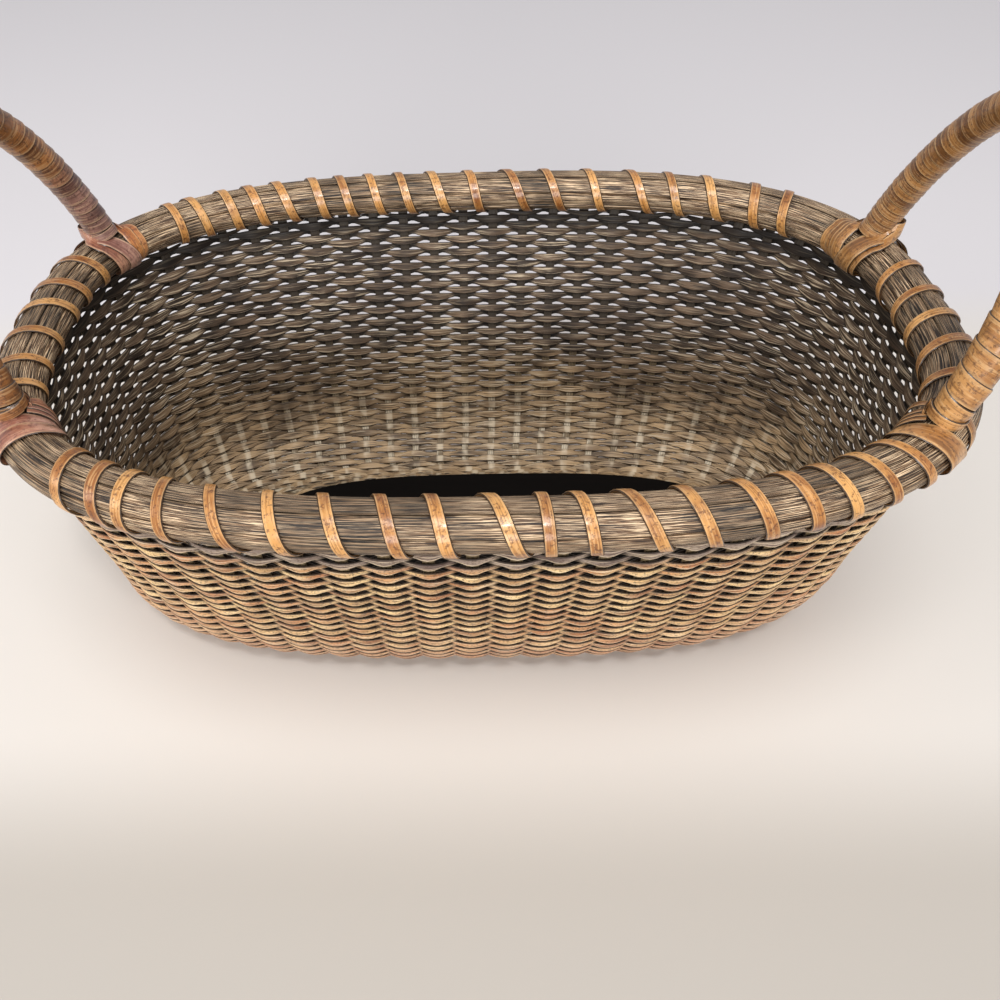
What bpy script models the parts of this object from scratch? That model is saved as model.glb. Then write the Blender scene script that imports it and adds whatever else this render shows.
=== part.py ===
# Oval woven basket with a lashed rim and two arched end handles.
# Metres, +Z up, +X along the basket, origin under the middle of the base board.

import math

import bmesh
import bpy
import numpy as np
from mathutils import Vector

MM = 0.001

# Clearances between touching pieces
GAP = 0.3 * MM
LASH_AIR = 0.34 * MM
MERGE = 0.01 * MM

# Rim, measured on its centre line
RIM_HALF_LENGTH = 124.6 * MM
RIM_HALF_WIDTH = 78.2 * MM
RIM_SQUARENESS = 2.82
RIM_HEIGHT = 97.9 * MM
RIM_BAR_WIDTH = 14.0 * MM
RIM_BAR_HEIGHT = 11.9 * MM
HOOP_ARC_STEPS = 5
SPLINT_WIDTH = 3.6 * MM
SPLINT_THICKNESS = 0.7 * MM

# Base board
BOARD_HALF_LENGTH = 87.0 * MM
BOARD_HALF_WIDTH = 33.5 * MM
BOARD_SHIFT = 8.0 * MM
BOARD_SQUARENESS = 2.9
BOARD_THICKNESS = 7.0 * MM
BOARD_BEVEL = 1.0 * MM
GROOVE_DEPTH = 4.0 * MM

# Staves and weave
STAVE_COUNT = 65
STAVE_WIDTH = 3.2 * MM
STAVE_THICKNESS = 0.9 * MM
STAVE_TOP_MARGIN = 0.6 * MM
STAVE_FOOT_RING = 1.5 * MM
STAVE_FOOT_AIR = 0.6 * MM
STAVE_AIR = 0.45 * MM
WEAVER_THICKNESS = 0.9 * MM
WEAVE_TOP_CLEARANCE = 2.5 * MM
# Spread along the basket, spread across it, and height, each from board to rim
BOWL_PROFILE_SHARES = (
    (0.52, 0.145, 0.0),
    (0.70, 0.42, 0.09),
    (0.786, 0.567, 0.22),
    (0.825, 0.65, 0.365),
    (0.98, 0.98, 0.91),
)

# Cane lashed round the rim
LASH_WIDTH = 3.0 * MM
LASH_THICKNESS = 0.8 * MM
LASH_TURN_POINTS = 10
LASH_TURNS_LONG = 19
LASH_TURNS_END = 6
LASH_FOOT_CLEARANCE = 13.0 * MM

# Handles
HANDLE_LEAN = math.radians(16.0)
HANDLE_HEIGHT = 59.0 * MM
HANDLE_SQUARENESS = 1.8
HANDLE_CORE_RADIUS = 3.2 * MM
HANDLE_POINTS = 25
ARCH_NUDGE = 0.001
# Shares of the rim's half width at which the back foot and the front foot stand
HANDLE_FOOT_SHARES = {
    "left": (0.55, -0.54),
    "right": (0.43, -0.665),
}

# Flat cane wound round the handles
WRAP_TURNS = 24
WRAP_TURN_POINTS = 8
WRAP_THICKNESS = 0.8 * MM
WRAP_TURN_SPACE = 0.8 * MM
WRAP_FOOT_CLEARANCE = 14.5 * MM

# Crossed bands that tie each handle foot to the rim
BAND_WIDTH = 4.0 * MM
BAND_THICKNESS = 0.9 * MM
BAND_LAYER_AIR = 0.5 * MM
BAND_AIR = 1.0 * MM
BAND_ROD_AIR = 1.2 * MM
BAND_STACK_AIR = 2.2 * MM
BAND_LOW_RISE = 4.2 * MM
BAND_FOOT_REACH = 6.9 * MM
BAND_UNDER_REACH = 2.9 * MM
BAND_ARM_DEGREES = (-66.0, -30.0, 10.0, 45.0, 68.0)
BAND_ARC_DEGREES = (0.0, 45.0, 90.0, 135.0, 180.0)

COLOURS = {
    "base_board": (0.030, 0.022, 0.018, 1.0),
    "staves": (0.20, 0.15, 0.10, 1.0),
    "weave_outer_face": (0.48, 0.31, 0.14, 1.0),
    "weave_inner_face": (0.07, 0.048, 0.032, 1.0),
    "rim": (0.16, 0.11, 0.075, 1.0),
    "lashing": (0.60, 0.30, 0.085, 1.0),
    "handle": (0.50, 0.24, 0.09, 1.0),
}
ROUGHNESS = {"base_board": 0.55, "rim": 0.5, "lashing": 0.35, "handle": 0.38}
PLAIN_ROUGHNESS = 0.6


def clear_scene():
    for thing in list(bpy.data.objects):
        bpy.data.objects.remove(thing, do_unlink=True)


def make_collection(name):
    group = bpy.data.collections.new(name)
    bpy.context.scene.collection.children.link(group)
    return group


def make_material(name):
    material = bpy.data.materials.new(name)
    material.use_nodes = True
    shader = material.node_tree.nodes["Principled BSDF"]
    shader.inputs["Base Color"].default_value = COLOURS[name]
    shader.inputs["Roughness"].default_value = ROUGHNESS.get(name, PLAIN_ROUGHNESS)
    shader.inputs["Metallic"].default_value = 0.0
    material.diffuse_color = COLOURS[name]
    return material


def add_object(name, mesh, material, collection):
    thing = bpy.data.objects.new(name, mesh)
    mesh.materials.append(material)
    collection.objects.link(thing)
    return thing


def finish_bmesh(bm, name):
    bmesh.ops.recalc_face_normals(bm, faces=bm.faces)
    mesh = bpy.data.meshes.new(name)
    bm.to_mesh(mesh)
    bm.free()
    return mesh


# Oval shapes

def oval_point(half_length, half_width, squareness, angle):
    power = 2.0 / squareness
    c = math.cos(angle)
    s = math.sin(angle)
    x = half_length * math.copysign(abs(c) ** power, c)
    y = half_width * math.copysign(abs(s) ** power, s)
    return Vector((x, y))


def oval_normal(point, half_length, half_width, squareness):
    power = squareness - 1.0
    nx = math.copysign(abs(point.x / half_length) ** power, point.x) / half_length
    ny = math.copysign(abs(point.y / half_width) ** power, point.y) / half_width
    return Vector((nx, ny)).normalized()


def rim_angle_table(samples=7200):
    angles = np.linspace(0.0, 2.0 * math.pi, samples + 1)
    points = [oval_point(RIM_HALF_LENGTH, RIM_HALF_WIDTH, RIM_SQUARENESS, a) for a in angles]
    steps = [(b - a).length for a, b in zip(points, points[1:])]
    travelled = np.concatenate(([0.0], np.cumsum(steps)))
    return angles, travelled


RIM_ANGLES, RIM_TRAVEL = rim_angle_table()
RIM_LENGTH = float(RIM_TRAVEL[-1])
STAVE_PITCH = RIM_LENGTH / STAVE_COUNT


def angle_at(step):
    """Oval angle at a number of stave pitches round the rim from +X."""
    travelled = (step * STAVE_PITCH) % RIM_LENGTH
    return float(np.interp(travelled, RIM_TRAVEL, RIM_ANGLES))


def rim_place(step, out, up):
    """World point at a step round the rim, moved outwards and up from its centre line."""
    flat = oval_point(RIM_HALF_LENGTH, RIM_HALF_WIDTH, RIM_SQUARENESS, angle_at(step))
    return flat.to_3d() + rim_outwards(step) * out + Vector((0.0, 0.0, RIM_HEIGHT + up))


def rim_outwards(step):
    flat = oval_point(RIM_HALF_LENGTH, RIM_HALF_WIDTH, RIM_SQUARENESS, angle_at(step))
    return oval_normal(flat, RIM_HALF_LENGTH, RIM_HALF_WIDTH, RIM_SQUARENESS).to_3d()


# Bowl surface, shared by the staves and both faces of the weave

GROOVE_LEVEL = BOARD_THICKNESS / 2
WEAVE_OFFSET = STAVE_THICKNESS / 2 + STAVE_AIR


def bowl_ring(spread_length, spread_width, height_share, angle):
    """One point of the bowl's middle surface from three shares between board and rim."""
    half_length = BOARD_HALF_LENGTH + (RIM_HALF_LENGTH - BOARD_HALF_LENGTH) * spread_length
    half_width = BOARD_HALF_WIDTH + (RIM_HALF_WIDTH - BOARD_HALF_WIDTH) * spread_width
    squareness = BOARD_SQUARENESS + (RIM_SQUARENESS - BOARD_SQUARENESS) * spread_width
    flat = oval_point(half_length, half_width, squareness, angle)
    height = GROOVE_LEVEL + (RIM_HEIGHT - GROOVE_LEVEL) * height_share
    return Vector((flat.x, flat.y, height))


def board_ring(grow, angle):
    """Point beyond the board's edge; the board sits a little towards the right end."""
    half_length = BOARD_HALF_LENGTH + grow
    half_width = BOARD_HALF_WIDTH + grow
    flat = oval_point(half_length, half_width, BOARD_SQUARENESS, angle)
    return Vector((BOARD_SHIFT + flat.x, flat.y, GROOVE_LEVEL))


def bowl_columns(first_grow):
    """For each step round the rim, the bowl's points from the board upwards."""
    columns = []
    for step in range(STAVE_COUNT):
        angle = angle_at(step)
        column = [board_ring(first_grow, angle)]
        column += [bowl_ring(*shares, angle) for shares in BOWL_PROFILE_SHARES]
        columns.append(column)
    return columns


def mitre(before, after):
    """Direction and stretch that keep an offset even at a corner."""
    return (before + after) / (1.0 + before.dot(after))


def offset_columns(columns, distance):
    """The bowl's points moved along its outward normals, corners kept even."""
    moved = []
    for step, column in enumerate(columns):
        ahead = columns[(step + 1) % STAVE_COUNT]
        behind = columns[step - 1]
        normals = []
        for row in range(len(column) - 1):
            along = (ahead[row] + ahead[row + 1]) - (behind[row] + behind[row + 1])
            rise = column[row + 1] - column[row]
            normals.append(along.cross(rise).normalized())
        shifted = []
        for row, point in enumerate(column):
            before = normals[max(row - 1, 0)]
            after = normals[min(row, len(normals) - 1)]
            shifted.append(point + mitre(before, after) * distance)
        moved.append(shifted)
    return moved


def weave_top(column, up):
    """The column with its last point lifted or lowered to the weave's top level."""
    low, high = column[-2], column[-1]
    share = (up - low.z) / (high.z - low.z)
    return column[:-1] + [low.lerp(high, share)]


def sheet_mesh(name, columns, closed):
    """An open sheet of quads between columns of points."""
    bm = bmesh.new()
    rows = [[bm.verts.new(point) for point in column] for column in columns]
    pairs = list(zip(rows, rows[1:]))
    if closed:
        pairs.append((rows[-1], rows[0]))
    for left, right in pairs:
        for low in range(len(left) - 1):
            bm.faces.new((left[low], right[low], right[low + 1], left[low + 1]))
    mesh = bpy.data.meshes.new(name)
    bm.to_mesh(mesh)
    bm.free()
    return mesh


def add_solidify(thing, thickness, side):
    """Wall thickness: side 1 grows outwards, -1 inwards, 0 both ways."""
    wall = thing.modifiers.new("wall", "SOLIDIFY")
    wall.thickness = thickness
    wall.offset = side
    wall.use_even_offset = True
    return wall


def make_weave_face(name, side, material, collection):
    """One face of the weave: side 1 lies outside the staves, -1 inside them."""
    columns = bowl_columns(GAP + STAVE_THICKNESS / 2)
    columns = offset_columns(columns, side * WEAVE_OFFSET)
    top = RIM_HEIGHT - RIM_BAR_HEIGHT / 2 - WEAVE_TOP_CLEARANCE
    columns = [weave_top(column, top) for column in columns]
    thing = add_object(name, sheet_mesh(name, columns, True), material, collection)
    add_solidify(thing, WEAVER_THICKNESS, side)
    return thing


def stave_column(step):
    """The middle surface at a step, from the groove's bottom to the stave tops."""
    angle = angle_at(step)
    foot = STAVE_FOOT_AIR - GROOVE_DEPTH
    column = [board_ring(foot, angle), board_ring(foot + STAVE_FOOT_RING, angle)]
    column += [bowl_ring(*shares, angle) for shares in BOWL_PROFILE_SHARES]
    tip = RIM_BAR_HEIGHT / 2 - SPLINT_THICKNESS - GAP - STAVE_TOP_MARGIN
    column.append(rim_place(step, 0.0, -RIM_BAR_HEIGHT / 2 - 2.0 * GAP))
    column.append(rim_place(step, 0.0, tip))
    return column


def make_staves(material, collection):
    """All staves as one body: strips from the groove to the hoops, joined at their feet."""
    columns = [stave_column(step) for step in range(STAVE_COUNT)]
    bm = bmesh.new()
    staves = []
    for step, column in enumerate(columns):
        ahead = columns[(step + 1) % STAVE_COUNT]
        edges = []
        for left, right in zip(column, ahead):
            middle = left.lerp(right, 0.5)
            reach = (right - left).normalized() * (STAVE_WIDTH / 2)
            edges.append((bm.verts.new(middle - reach), bm.verts.new(middle + reach)))
        for low, high in zip(edges, edges[1:]):
            bm.faces.new((low[0], low[1], high[1], high[0]))
        staves.append(edges)
    for index, edges in enumerate(staves):
        after = staves[(index + 1) % STAVE_COUNT]
        bm.faces.new((edges[0][1], after[0][0], after[1][0], edges[1][1]))
    mesh = bpy.data.meshes.new("staves")
    bm.to_mesh(mesh)
    bm.free()
    thing = add_object("staves", mesh, material, collection)
    add_solidify(thing, STAVE_THICKNESS, 0)
    return thing


# Base board

def make_base_board(material, collection):
    """Oval board with softened edges and a groove all round for the stave feet."""
    groove_half = STAVE_THICKNESS / 2 + GAP
    half = BOARD_THICKNESS / 2
    levels = (
        (-BOARD_BEVEL, 0.0),
        (0.0, BOARD_BEVEL),
        (0.0, half - groove_half),
        (-GROOVE_DEPTH, half - groove_half),
        (-GROOVE_DEPTH, half + groove_half),
        (0.0, half + groove_half),
        (0.0, BOARD_THICKNESS - BOARD_BEVEL),
        (-BOARD_BEVEL, BOARD_THICKNESS),
    )
    bm = bmesh.new()
    rings = []
    for grow, level in levels:
        ring = []
        for step in range(STAVE_COUNT):
            point = board_ring(grow, angle_at(step))
            ring.append(bm.verts.new((point.x, point.y, level)))
        rings.append(ring)
    for low, high in zip(rings, rings[1:]):
        for index in range(STAVE_COUNT):
            after = (index + 1) % STAVE_COUNT
            bm.faces.new((low[index], low[after], high[after], high[index]))
    bm.faces.new(list(reversed(rings[0])))
    bm.faces.new(rings[-1])
    return add_object("base_board", finish_bmesh(bm, "base_board"), material, collection)


# Rim

def rim_sweep(name, section, material, collection):
    """A closed section of (out, up) points carried all round the rim."""
    bm = bmesh.new()
    rings = []
    for step in range(STAVE_COUNT):
        rings.append([bm.verts.new(rim_place(step, out, up)) for out, up in section])
    for index, ring in enumerate(rings):
        after = rings[(index + 1) % STAVE_COUNT]
        for corner in range(len(section)):
            across = (corner + 1) % len(section)
            bm.faces.new((ring[corner], after[corner], after[across], ring[across]))
    return add_object(name, finish_bmesh(bm, name), material, collection)


def hoop_section(side):
    """Half-round section with its flat side towards the stave tops."""
    slot = STAVE_THICKNESS / 2 + GAP
    low = -RIM_BAR_HEIGHT / 2
    high = RIM_BAR_HEIGHT / 2 - SPLINT_THICKNESS - GAP
    middle = (low + high) / 2
    section = []
    for index in range(HOOP_ARC_STEPS + 1):
        angle = math.pi * (index / HOOP_ARC_STEPS - 0.5)
        out = slot + (RIM_BAR_WIDTH / 2 - slot) * math.cos(angle)
        section.append((side * out, middle + (high - middle) * math.sin(angle)))
    return section


def splint_section():
    top = RIM_BAR_HEIGHT / 2
    half = SPLINT_WIDTH / 2
    low = top - SPLINT_THICKNESS
    return [(-half, low), (half, low), (half, top), (-half, top)]


# Flat strips

def strip_bmesh(bm, centres, normals, width, thickness, closed):
    """A flat strip along centres, its broad side facing the normals."""
    count = len(centres)
    rings = []
    for index, centre in enumerate(centres):
        before = centres[index - 1] if closed or index else centre
        after = centres[(index + 1) % count] if closed or index < count - 1 else centre
        along = (after - before).normalized()
        face = (normals[index] - along * normals[index].dot(along)).normalized()
        across = along.cross(face) * (width / 2)
        thick = face * (thickness / 2)
        corners = (centre - across - thick, centre + across - thick,
                   centre + across + thick, centre - across + thick)
        rings.append([bm.verts.new(corner) for corner in corners])
    pairs = list(zip(rings, rings[1:]))
    if closed:
        pairs.append((rings[-1], rings[0]))
    for low, high in pairs:
        for corner in range(4):
            across = (corner + 1) % 4
            bm.faces.new((low[corner], low[across], high[across], high[corner]))
    if not closed:
        bm.faces.new(list(reversed(rings[0])))
        bm.faces.new(rings[-1])


def least_gap(mesh, turn_points):
    """Least distance between points of the strip's edges more than half a turn apart."""
    corners = np.array([tuple(v.co) for v in mesh.vertices]).reshape(-1, 4, 3)
    middle = (corners[:-1] + corners[1:]) / 2
    points = np.concatenate((corners, middle)).reshape(-1, 3)
    places = np.concatenate((np.arange(len(corners)), np.arange(len(middle)) + 0.5))
    places = np.repeat(places, 4)
    apart = np.abs(places[:, None] - places[None, :]) > turn_points / 2
    distance = np.linalg.norm(points[:, None, :] - points[None, :, :], axis=2)
    return float(distance[apart].min())


# Rim lashing

def lash_reach(half_size):
    """Strip centre line's half axis, so that its flats clear the rim inside them."""
    clear = half_size + GAP + LASH_THICKNESS / 2 + LASH_AIR
    return clear / math.cos(math.pi / LASH_TURN_POINTS)


def make_rim_lashing(name, first_step, last_step, turns, material, collection):
    """One strip wound round the rim: up inside, over, down outside and under, between staves."""
    reach_out = lash_reach(RIM_BAR_WIDTH / 2)
    reach_up = lash_reach(RIM_BAR_HEIGHT / 2)
    passes = [round(first_step + (last_step - first_step) * k / turns) for k in range(turns + 1)]
    centres = []
    normals = []
    for turn, (start, end) in enumerate(zip(passes, passes[1:])):
        points = LASH_TURN_POINTS + (1 if turn == turns - 1 else 0)
        for index in range(points):
            share = index / LASH_TURN_POINTS
            angle = -2.0 * math.pi * share - math.pi / 2
            step = start + (end - start) * share
            out = reach_out * math.cos(angle)
            up = reach_up * math.sin(angle)
            centres.append(rim_place(step, out, up))
            outwards = rim_outwards(step)
            normals.append(outwards * (math.cos(angle) / reach_out)
                           + Vector((0.0, 0.0, math.sin(angle) / reach_up)))
    bm = bmesh.new()
    strip_bmesh(bm, centres, normals, LASH_WIDTH, LASH_THICKNESS, False)
    mesh = finish_bmesh(bm, name)
    print(name, "least gap to itself, mm:", round(least_gap(mesh, LASH_TURN_POINTS) / MM, 2))
    return add_object(name, mesh, material, collection)


# Handles

def step_of_foot(side, across_share):
    """Step round the rim where a handle foot stands."""
    angle = math.asin(abs(across_share) ** (RIM_SQUARENESS / 2.0))
    if side == "left":
        angle = math.pi - angle
    if across_share < 0.0:
        angle = 2.0 * math.pi - angle
    return float(np.interp(angle, RIM_ANGLES, RIM_TRAVEL)) / STAVE_PITCH


def handle_frame(side):
    """Middle of the feet, half span, and the directions across and up the handle."""
    back, front = HANDLE_FOOT_SHARES[side]
    top = RIM_BAR_HEIGHT / 2
    back_foot = rim_place(step_of_foot(side, back), 0.0, top)
    front_foot = rim_place(step_of_foot(side, front), 0.0, top)
    across = (back_foot - front_foot) / 2
    outwards = across.cross(Vector((0.0, 0.0, 1.0))).normalized()
    if outwards.x * back_foot.x < 0.0:
        outwards = -outwards
    lean = outwards * math.sin(HANDLE_LEAN) + Vector((0.0, 0.0, math.cos(HANDLE_LEAN)))
    return (back_foot + front_foot) / 2, across, lean


def handle_point(side, angle):
    """Point of the arch: angle 0 is the back foot and pi the front foot."""
    middle, across, lean = handle_frame(side)
    arch = oval_point(1.0, HANDLE_HEIGHT, HANDLE_SQUARENESS, angle)
    return middle + across * arch.x + lean * arch.y


def handle_axis_at(side, foot, rise):
    """Point of the handle's centre line at a height above the rim's top."""
    share = rise / (HANDLE_HEIGHT * math.cos(HANDLE_LEAN))
    angle = math.asin(share ** (HANDLE_SQUARENESS / 2.0))
    return handle_point(side, angle if foot == "back" else math.pi - angle)


def make_handle_core(side, material, collection):
    """Bent rod whose feet are cut level, just above the rim's top splint."""
    curve = bpy.data.curves.new("handle_core_" + side, "CURVE")
    curve.dimensions = "3D"
    curve.bevel_depth = HANDLE_CORE_RADIUS
    curve.bevel_resolution = 2
    curve.use_fill_caps = True
    spline = curve.splines.new("POLY")
    spline.points.add(HANDLE_POINTS - 1)
    for index in range(HANDLE_POINTS):
        angle = math.pi * index / (HANDLE_POINTS - 1)
        spline.points[index].co = (*handle_point(side, angle), 1.0)
    rod = bpy.data.objects.new("rod", curve)
    collection.objects.link(rod)
    bpy.context.view_layer.update()
    evaluated = rod.evaluated_get(bpy.context.evaluated_depsgraph_get())
    mesh = bpy.data.meshes.new_from_object(evaluated)
    bpy.data.objects.remove(rod, do_unlink=True)
    bm = bmesh.new()
    bm.from_mesh(mesh)
    bmesh.ops.remove_doubles(bm, verts=bm.verts, dist=MERGE)
    level = RIM_HEIGHT + RIM_BAR_HEIGHT / 2 + GAP
    whole = bm.verts[:] + bm.edges[:] + bm.faces[:]
    bmesh.ops.bisect_plane(bm, geom=whole, plane_co=(0.0, 0.0, level), plane_no=(0.0, 0.0, 1.0),
                           clear_inner=True)
    bmesh.ops.holes_fill(bm, edges=[edge for edge in bm.edges if edge.is_boundary])
    mesh.materials.clear()
    bmesh.ops.recalc_face_normals(bm, faces=bm.faces)
    bm.to_mesh(mesh)
    bm.free()
    return add_object("handle_core_" + side, mesh, material, collection)


def arch_table(side, samples=720):
    angles = np.linspace(0.0, math.pi, samples + 1)
    points = [handle_point(side, a) for a in angles]
    steps = [(b - a).length for a, b in zip(points, points[1:])]
    return angles, np.concatenate(([0.0], np.cumsum(steps)))


def make_handle_wrap(side, material, collection):
    """One strip wound round the rod from near its back foot to near its front foot."""
    angles, travelled = arch_table(side)
    length = float(travelled[-1])
    turn_rise = (length - 2.0 * WRAP_FOOT_CLEARANCE) / (WRAP_TURNS + 1)
    width = turn_rise - WRAP_TURN_SPACE
    inner = (HANDLE_CORE_RADIUS + GAP + LASH_AIR) / math.cos(math.pi / WRAP_TURN_POINTS)
    radius = inner + WRAP_THICKNESS / 2
    _, across, lean = handle_frame(side)
    flat = across.cross(lean).normalized()
    first = WRAP_FOOT_CLEARANCE + turn_rise / 2
    centres = []
    normals = []
    for index in range(WRAP_TURNS * WRAP_TURN_POINTS + 1):
        turn = index / WRAP_TURN_POINTS
        arch_angle = float(np.interp(first + turn * turn_rise, travelled, angles))
        axis = handle_point(side, arch_angle)
        ahead = handle_point(side, arch_angle + ARCH_NUDGE)
        behind = handle_point(side, arch_angle - ARCH_NUDGE)
        up = flat.cross((ahead - behind).normalized())
        turned = 2.0 * math.pi * turn
        normal = flat * math.cos(turned) + up * math.sin(turned)
        centres.append(axis + normal * radius)
        normals.append(normal)
    bm = bmesh.new()
    strip_bmesh(bm, centres, normals, width, WRAP_THICKNESS, False)
    name = "handle_wrap_" + side
    mesh = finish_bmesh(bm, name)
    print(name, "least gap to itself, mm:", round(least_gap(mesh, WRAP_TURN_POINTS) / MM, 2))
    return add_object(name, mesh, material, collection)


# Foot lashings

def band_arm(foot_step, hand, facing, reach_out, reach_up, foot_reach):
    """Centres and normals of one arm of a band, from under the rim to beside the rod."""
    arm = []
    for degrees in BAND_ARM_DEGREES:
        angle = math.radians(degrees)
        share = (degrees - BAND_ARM_DEGREES[0]) / (BAND_ARM_DEGREES[-1] - BAND_ARM_DEGREES[0])
        beside = BAND_UNDER_REACH + (foot_reach - BAND_UNDER_REACH) * share
        step = foot_step + hand * beside / STAVE_PITCH
        out = facing * reach_out * math.cos(angle)
        normal = rim_outwards(step) * (facing * math.cos(angle) / reach_out)
        normal += Vector((0.0, 0.0, math.sin(angle) / reach_up))
        arm.append((rim_place(step, out, reach_up * math.sin(angle)), normal))
    return arm


def band_loop(side, foot, layer):
    """Centres and normals of one closed band round a handle foot and one side of the rim.

    Layer 0 runs down the rim's inner side and round the outer side of the rod. Layer 1 is
    its mirror, one band further out and one band higher up the rod.
    """
    foot_step = step_of_foot(side, HANDLE_FOOT_SHARES[side][0 if foot == "back" else 1])
    facing = -1.0 if layer == 0 else 1.0
    lift = BAND_THICKNESS / 2 + BAND_AIR + layer * (BAND_THICKNESS + BAND_LAYER_AIR)
    reach_out = RIM_BAR_WIDTH / 2 + GAP + lift
    reach_up = RIM_BAR_HEIGHT / 2 + GAP + lift
    foot_reach = BAND_FOOT_REACH + layer * (BAND_WIDTH / 2)
    ahead_arm = band_arm(foot_step, 1.0, facing, reach_out, reach_up, foot_reach)
    behind_arm = band_arm(foot_step, -1.0, facing, reach_out, reach_up, foot_reach)
    axis = handle_axis_at(side, foot, BAND_LOW_RISE + layer * (BAND_WIDTH + BAND_STACK_AIR))
    outwards = rim_outwards(foot_step)
    beside = Vector((0.0, 0.0, 1.0)).cross(outwards)
    rod_reach = HANDLE_CORE_RADIUS + GAP + BAND_THICKNESS / 2 + BAND_ROD_AIR
    arc = []
    for degrees in BAND_ARC_DEGREES:
        angle = math.radians(degrees)
        normal = beside * math.cos(angle) - outwards * (facing * math.sin(angle))
        arc.append((axis + normal * rod_reach, normal))
    loop = ahead_arm + arc + list(reversed(behind_arm))
    return [centre for centre, _ in loop], [normal for _, normal in loop]


def make_foot_band(side, foot, layer, material, collection):
    """One closed band: layer 0 crosses outside the rod and layer 1 inside it."""
    bm = bmesh.new()
    centres, normals = band_loop(side, foot, layer)
    strip_bmesh(bm, centres, normals, BAND_WIDTH, BAND_THICKNESS, True)
    name = "_".join(("foot_band", side, foot, ("outer", "inner")[layer]))
    return add_object(name, finish_bmesh(bm, name), material, collection)


def lashing_runs():
    """Name, first step, last step and turns of each run between two handle feet."""
    clear = LASH_FOOT_CLEARANCE / STAVE_PITCH
    feet = {}
    for side, (back, front) in HANDLE_FOOT_SHARES.items():
        feet[side, "back"] = step_of_foot(side, back)
        feet[side, "front"] = step_of_foot(side, front)
    past_start = feet["right", "back"] + STAVE_COUNT
    order = (
        ("rim_lashing_back", feet["right", "back"], feet["left", "back"], LASH_TURNS_LONG),
        ("rim_lashing_left", feet["left", "back"], feet["left", "front"], LASH_TURNS_END),
        ("rim_lashing_front", feet["left", "front"], feet["right", "front"], LASH_TURNS_LONG),
        ("rim_lashing_right", feet["right", "front"], past_start, LASH_TURNS_END),
    )
    runs = []
    for name, start, end, turns in order:
        first = math.ceil(start + clear)
        last = math.floor(end - clear)
        runs.append((name, first, last, min(turns, last - first)))
    return runs


def main():
    clear_scene()
    basket = make_collection("oval_basket")
    materials = {name: make_material(name) for name in COLOURS}
    make_base_board(materials["base_board"], basket)
    make_staves(materials["staves"], basket)
    make_weave_face("weave_outer_face", 1, materials["weave_outer_face"], basket)
    make_weave_face("weave_inner_face", -1, materials["weave_inner_face"], basket)
    rim_sweep("rim_hoop_inner", hoop_section(-1.0), materials["rim"], basket)
    rim_sweep("rim_hoop_outer", hoop_section(1.0), materials["rim"], basket)
    rim_sweep("rim_top_splint", splint_section(), materials["rim"], basket)
    for name, first, last, turns in lashing_runs():
        make_rim_lashing(name, first, last, turns, materials["lashing"], basket)
        print(name, "steps", first, last, "turns", turns)
    for side in HANDLE_FOOT_SHARES:
        make_handle_core(side, materials["handle"], basket)
        make_handle_wrap(side, materials["handle"], basket)
        for foot in ("back", "front"):
            for layer in (0, 1):
                make_foot_band(side, foot, layer, materials["lashing"], basket)


main()
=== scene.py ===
# %% [markdown]
# A small oval basket, woven from flat cane over wooden staves. A splint rim is lashed on with
# cane, and an arched handle, wound with cane, leans outwards at each end.
# The measured model is loaded first and never changed. Every new piece is laid over it, in
# metres, with the basket's length along X, its front towards -Y and the table at zero height.

# %% Load the measured model
import math

import bmesh
import bpy
import numpy as np
from mathutils import Matrix


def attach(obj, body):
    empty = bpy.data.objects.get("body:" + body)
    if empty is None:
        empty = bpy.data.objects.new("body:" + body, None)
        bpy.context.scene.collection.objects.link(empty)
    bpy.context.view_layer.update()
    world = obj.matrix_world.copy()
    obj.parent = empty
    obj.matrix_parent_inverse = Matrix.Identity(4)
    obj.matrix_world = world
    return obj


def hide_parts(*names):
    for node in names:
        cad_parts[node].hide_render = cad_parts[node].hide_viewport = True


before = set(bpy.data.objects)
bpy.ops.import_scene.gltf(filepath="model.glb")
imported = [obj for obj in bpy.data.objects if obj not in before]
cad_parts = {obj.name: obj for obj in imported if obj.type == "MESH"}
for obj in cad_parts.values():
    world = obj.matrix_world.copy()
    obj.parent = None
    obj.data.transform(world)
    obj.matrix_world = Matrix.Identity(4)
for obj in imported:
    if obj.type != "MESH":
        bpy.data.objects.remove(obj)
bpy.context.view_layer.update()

# %% [markdown]
# The sizes that shape the whole basket. Rim and base board are ovals somewhere between an
# ellipse and a rectangle: the squareness is the power in the oval's formula, and 2 would be an
# ellipse. Everything round the rim is counted in steps, one step for each stave.

# %% Driving sizes
MM = 0.001
RIM_HALF_LENGTH = 124.6 * MM
RIM_HALF_WIDTH = 78.2 * MM
RIM_SQUARENESS = 2.82
RIM_HEIGHT = 97.9 * MM
RIM_HALF_THICKNESS = 7.0 * MM
RIM_HALF_DEPTH = 5.95 * MM
BOARD_HALF_LENGTH = 87.0 * MM
BOARD_HALF_WIDTH = 33.5 * MM
BOARD_SQUARENESS = 2.9
BOARD_SHIFT = 8.0 * MM
GROOVE_LEVEL = 3.5 * MM
STAVE_COUNT = 65
HANDLE_LEAN = math.radians(16.0)
HANDLE_HEIGHT = 59.0 * MM
HANDLE_SQUARENESS = 1.8
HANDLE_FOOT_SHARES = {"left": (0.55, -0.54), "right": (0.43, -0.665)}
ROD_RADIUS = 3.2 * MM
MERGE = 0.001 * MM
print("staves:", STAVE_COUNT)

# %% [markdown]
# An oval's points come from one formula, for a single angle or a whole array of them. The
# table of distances travelled round the rim lets steps be equally long, as the real staves are.

# %% Ovals and steps round the rim


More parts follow.
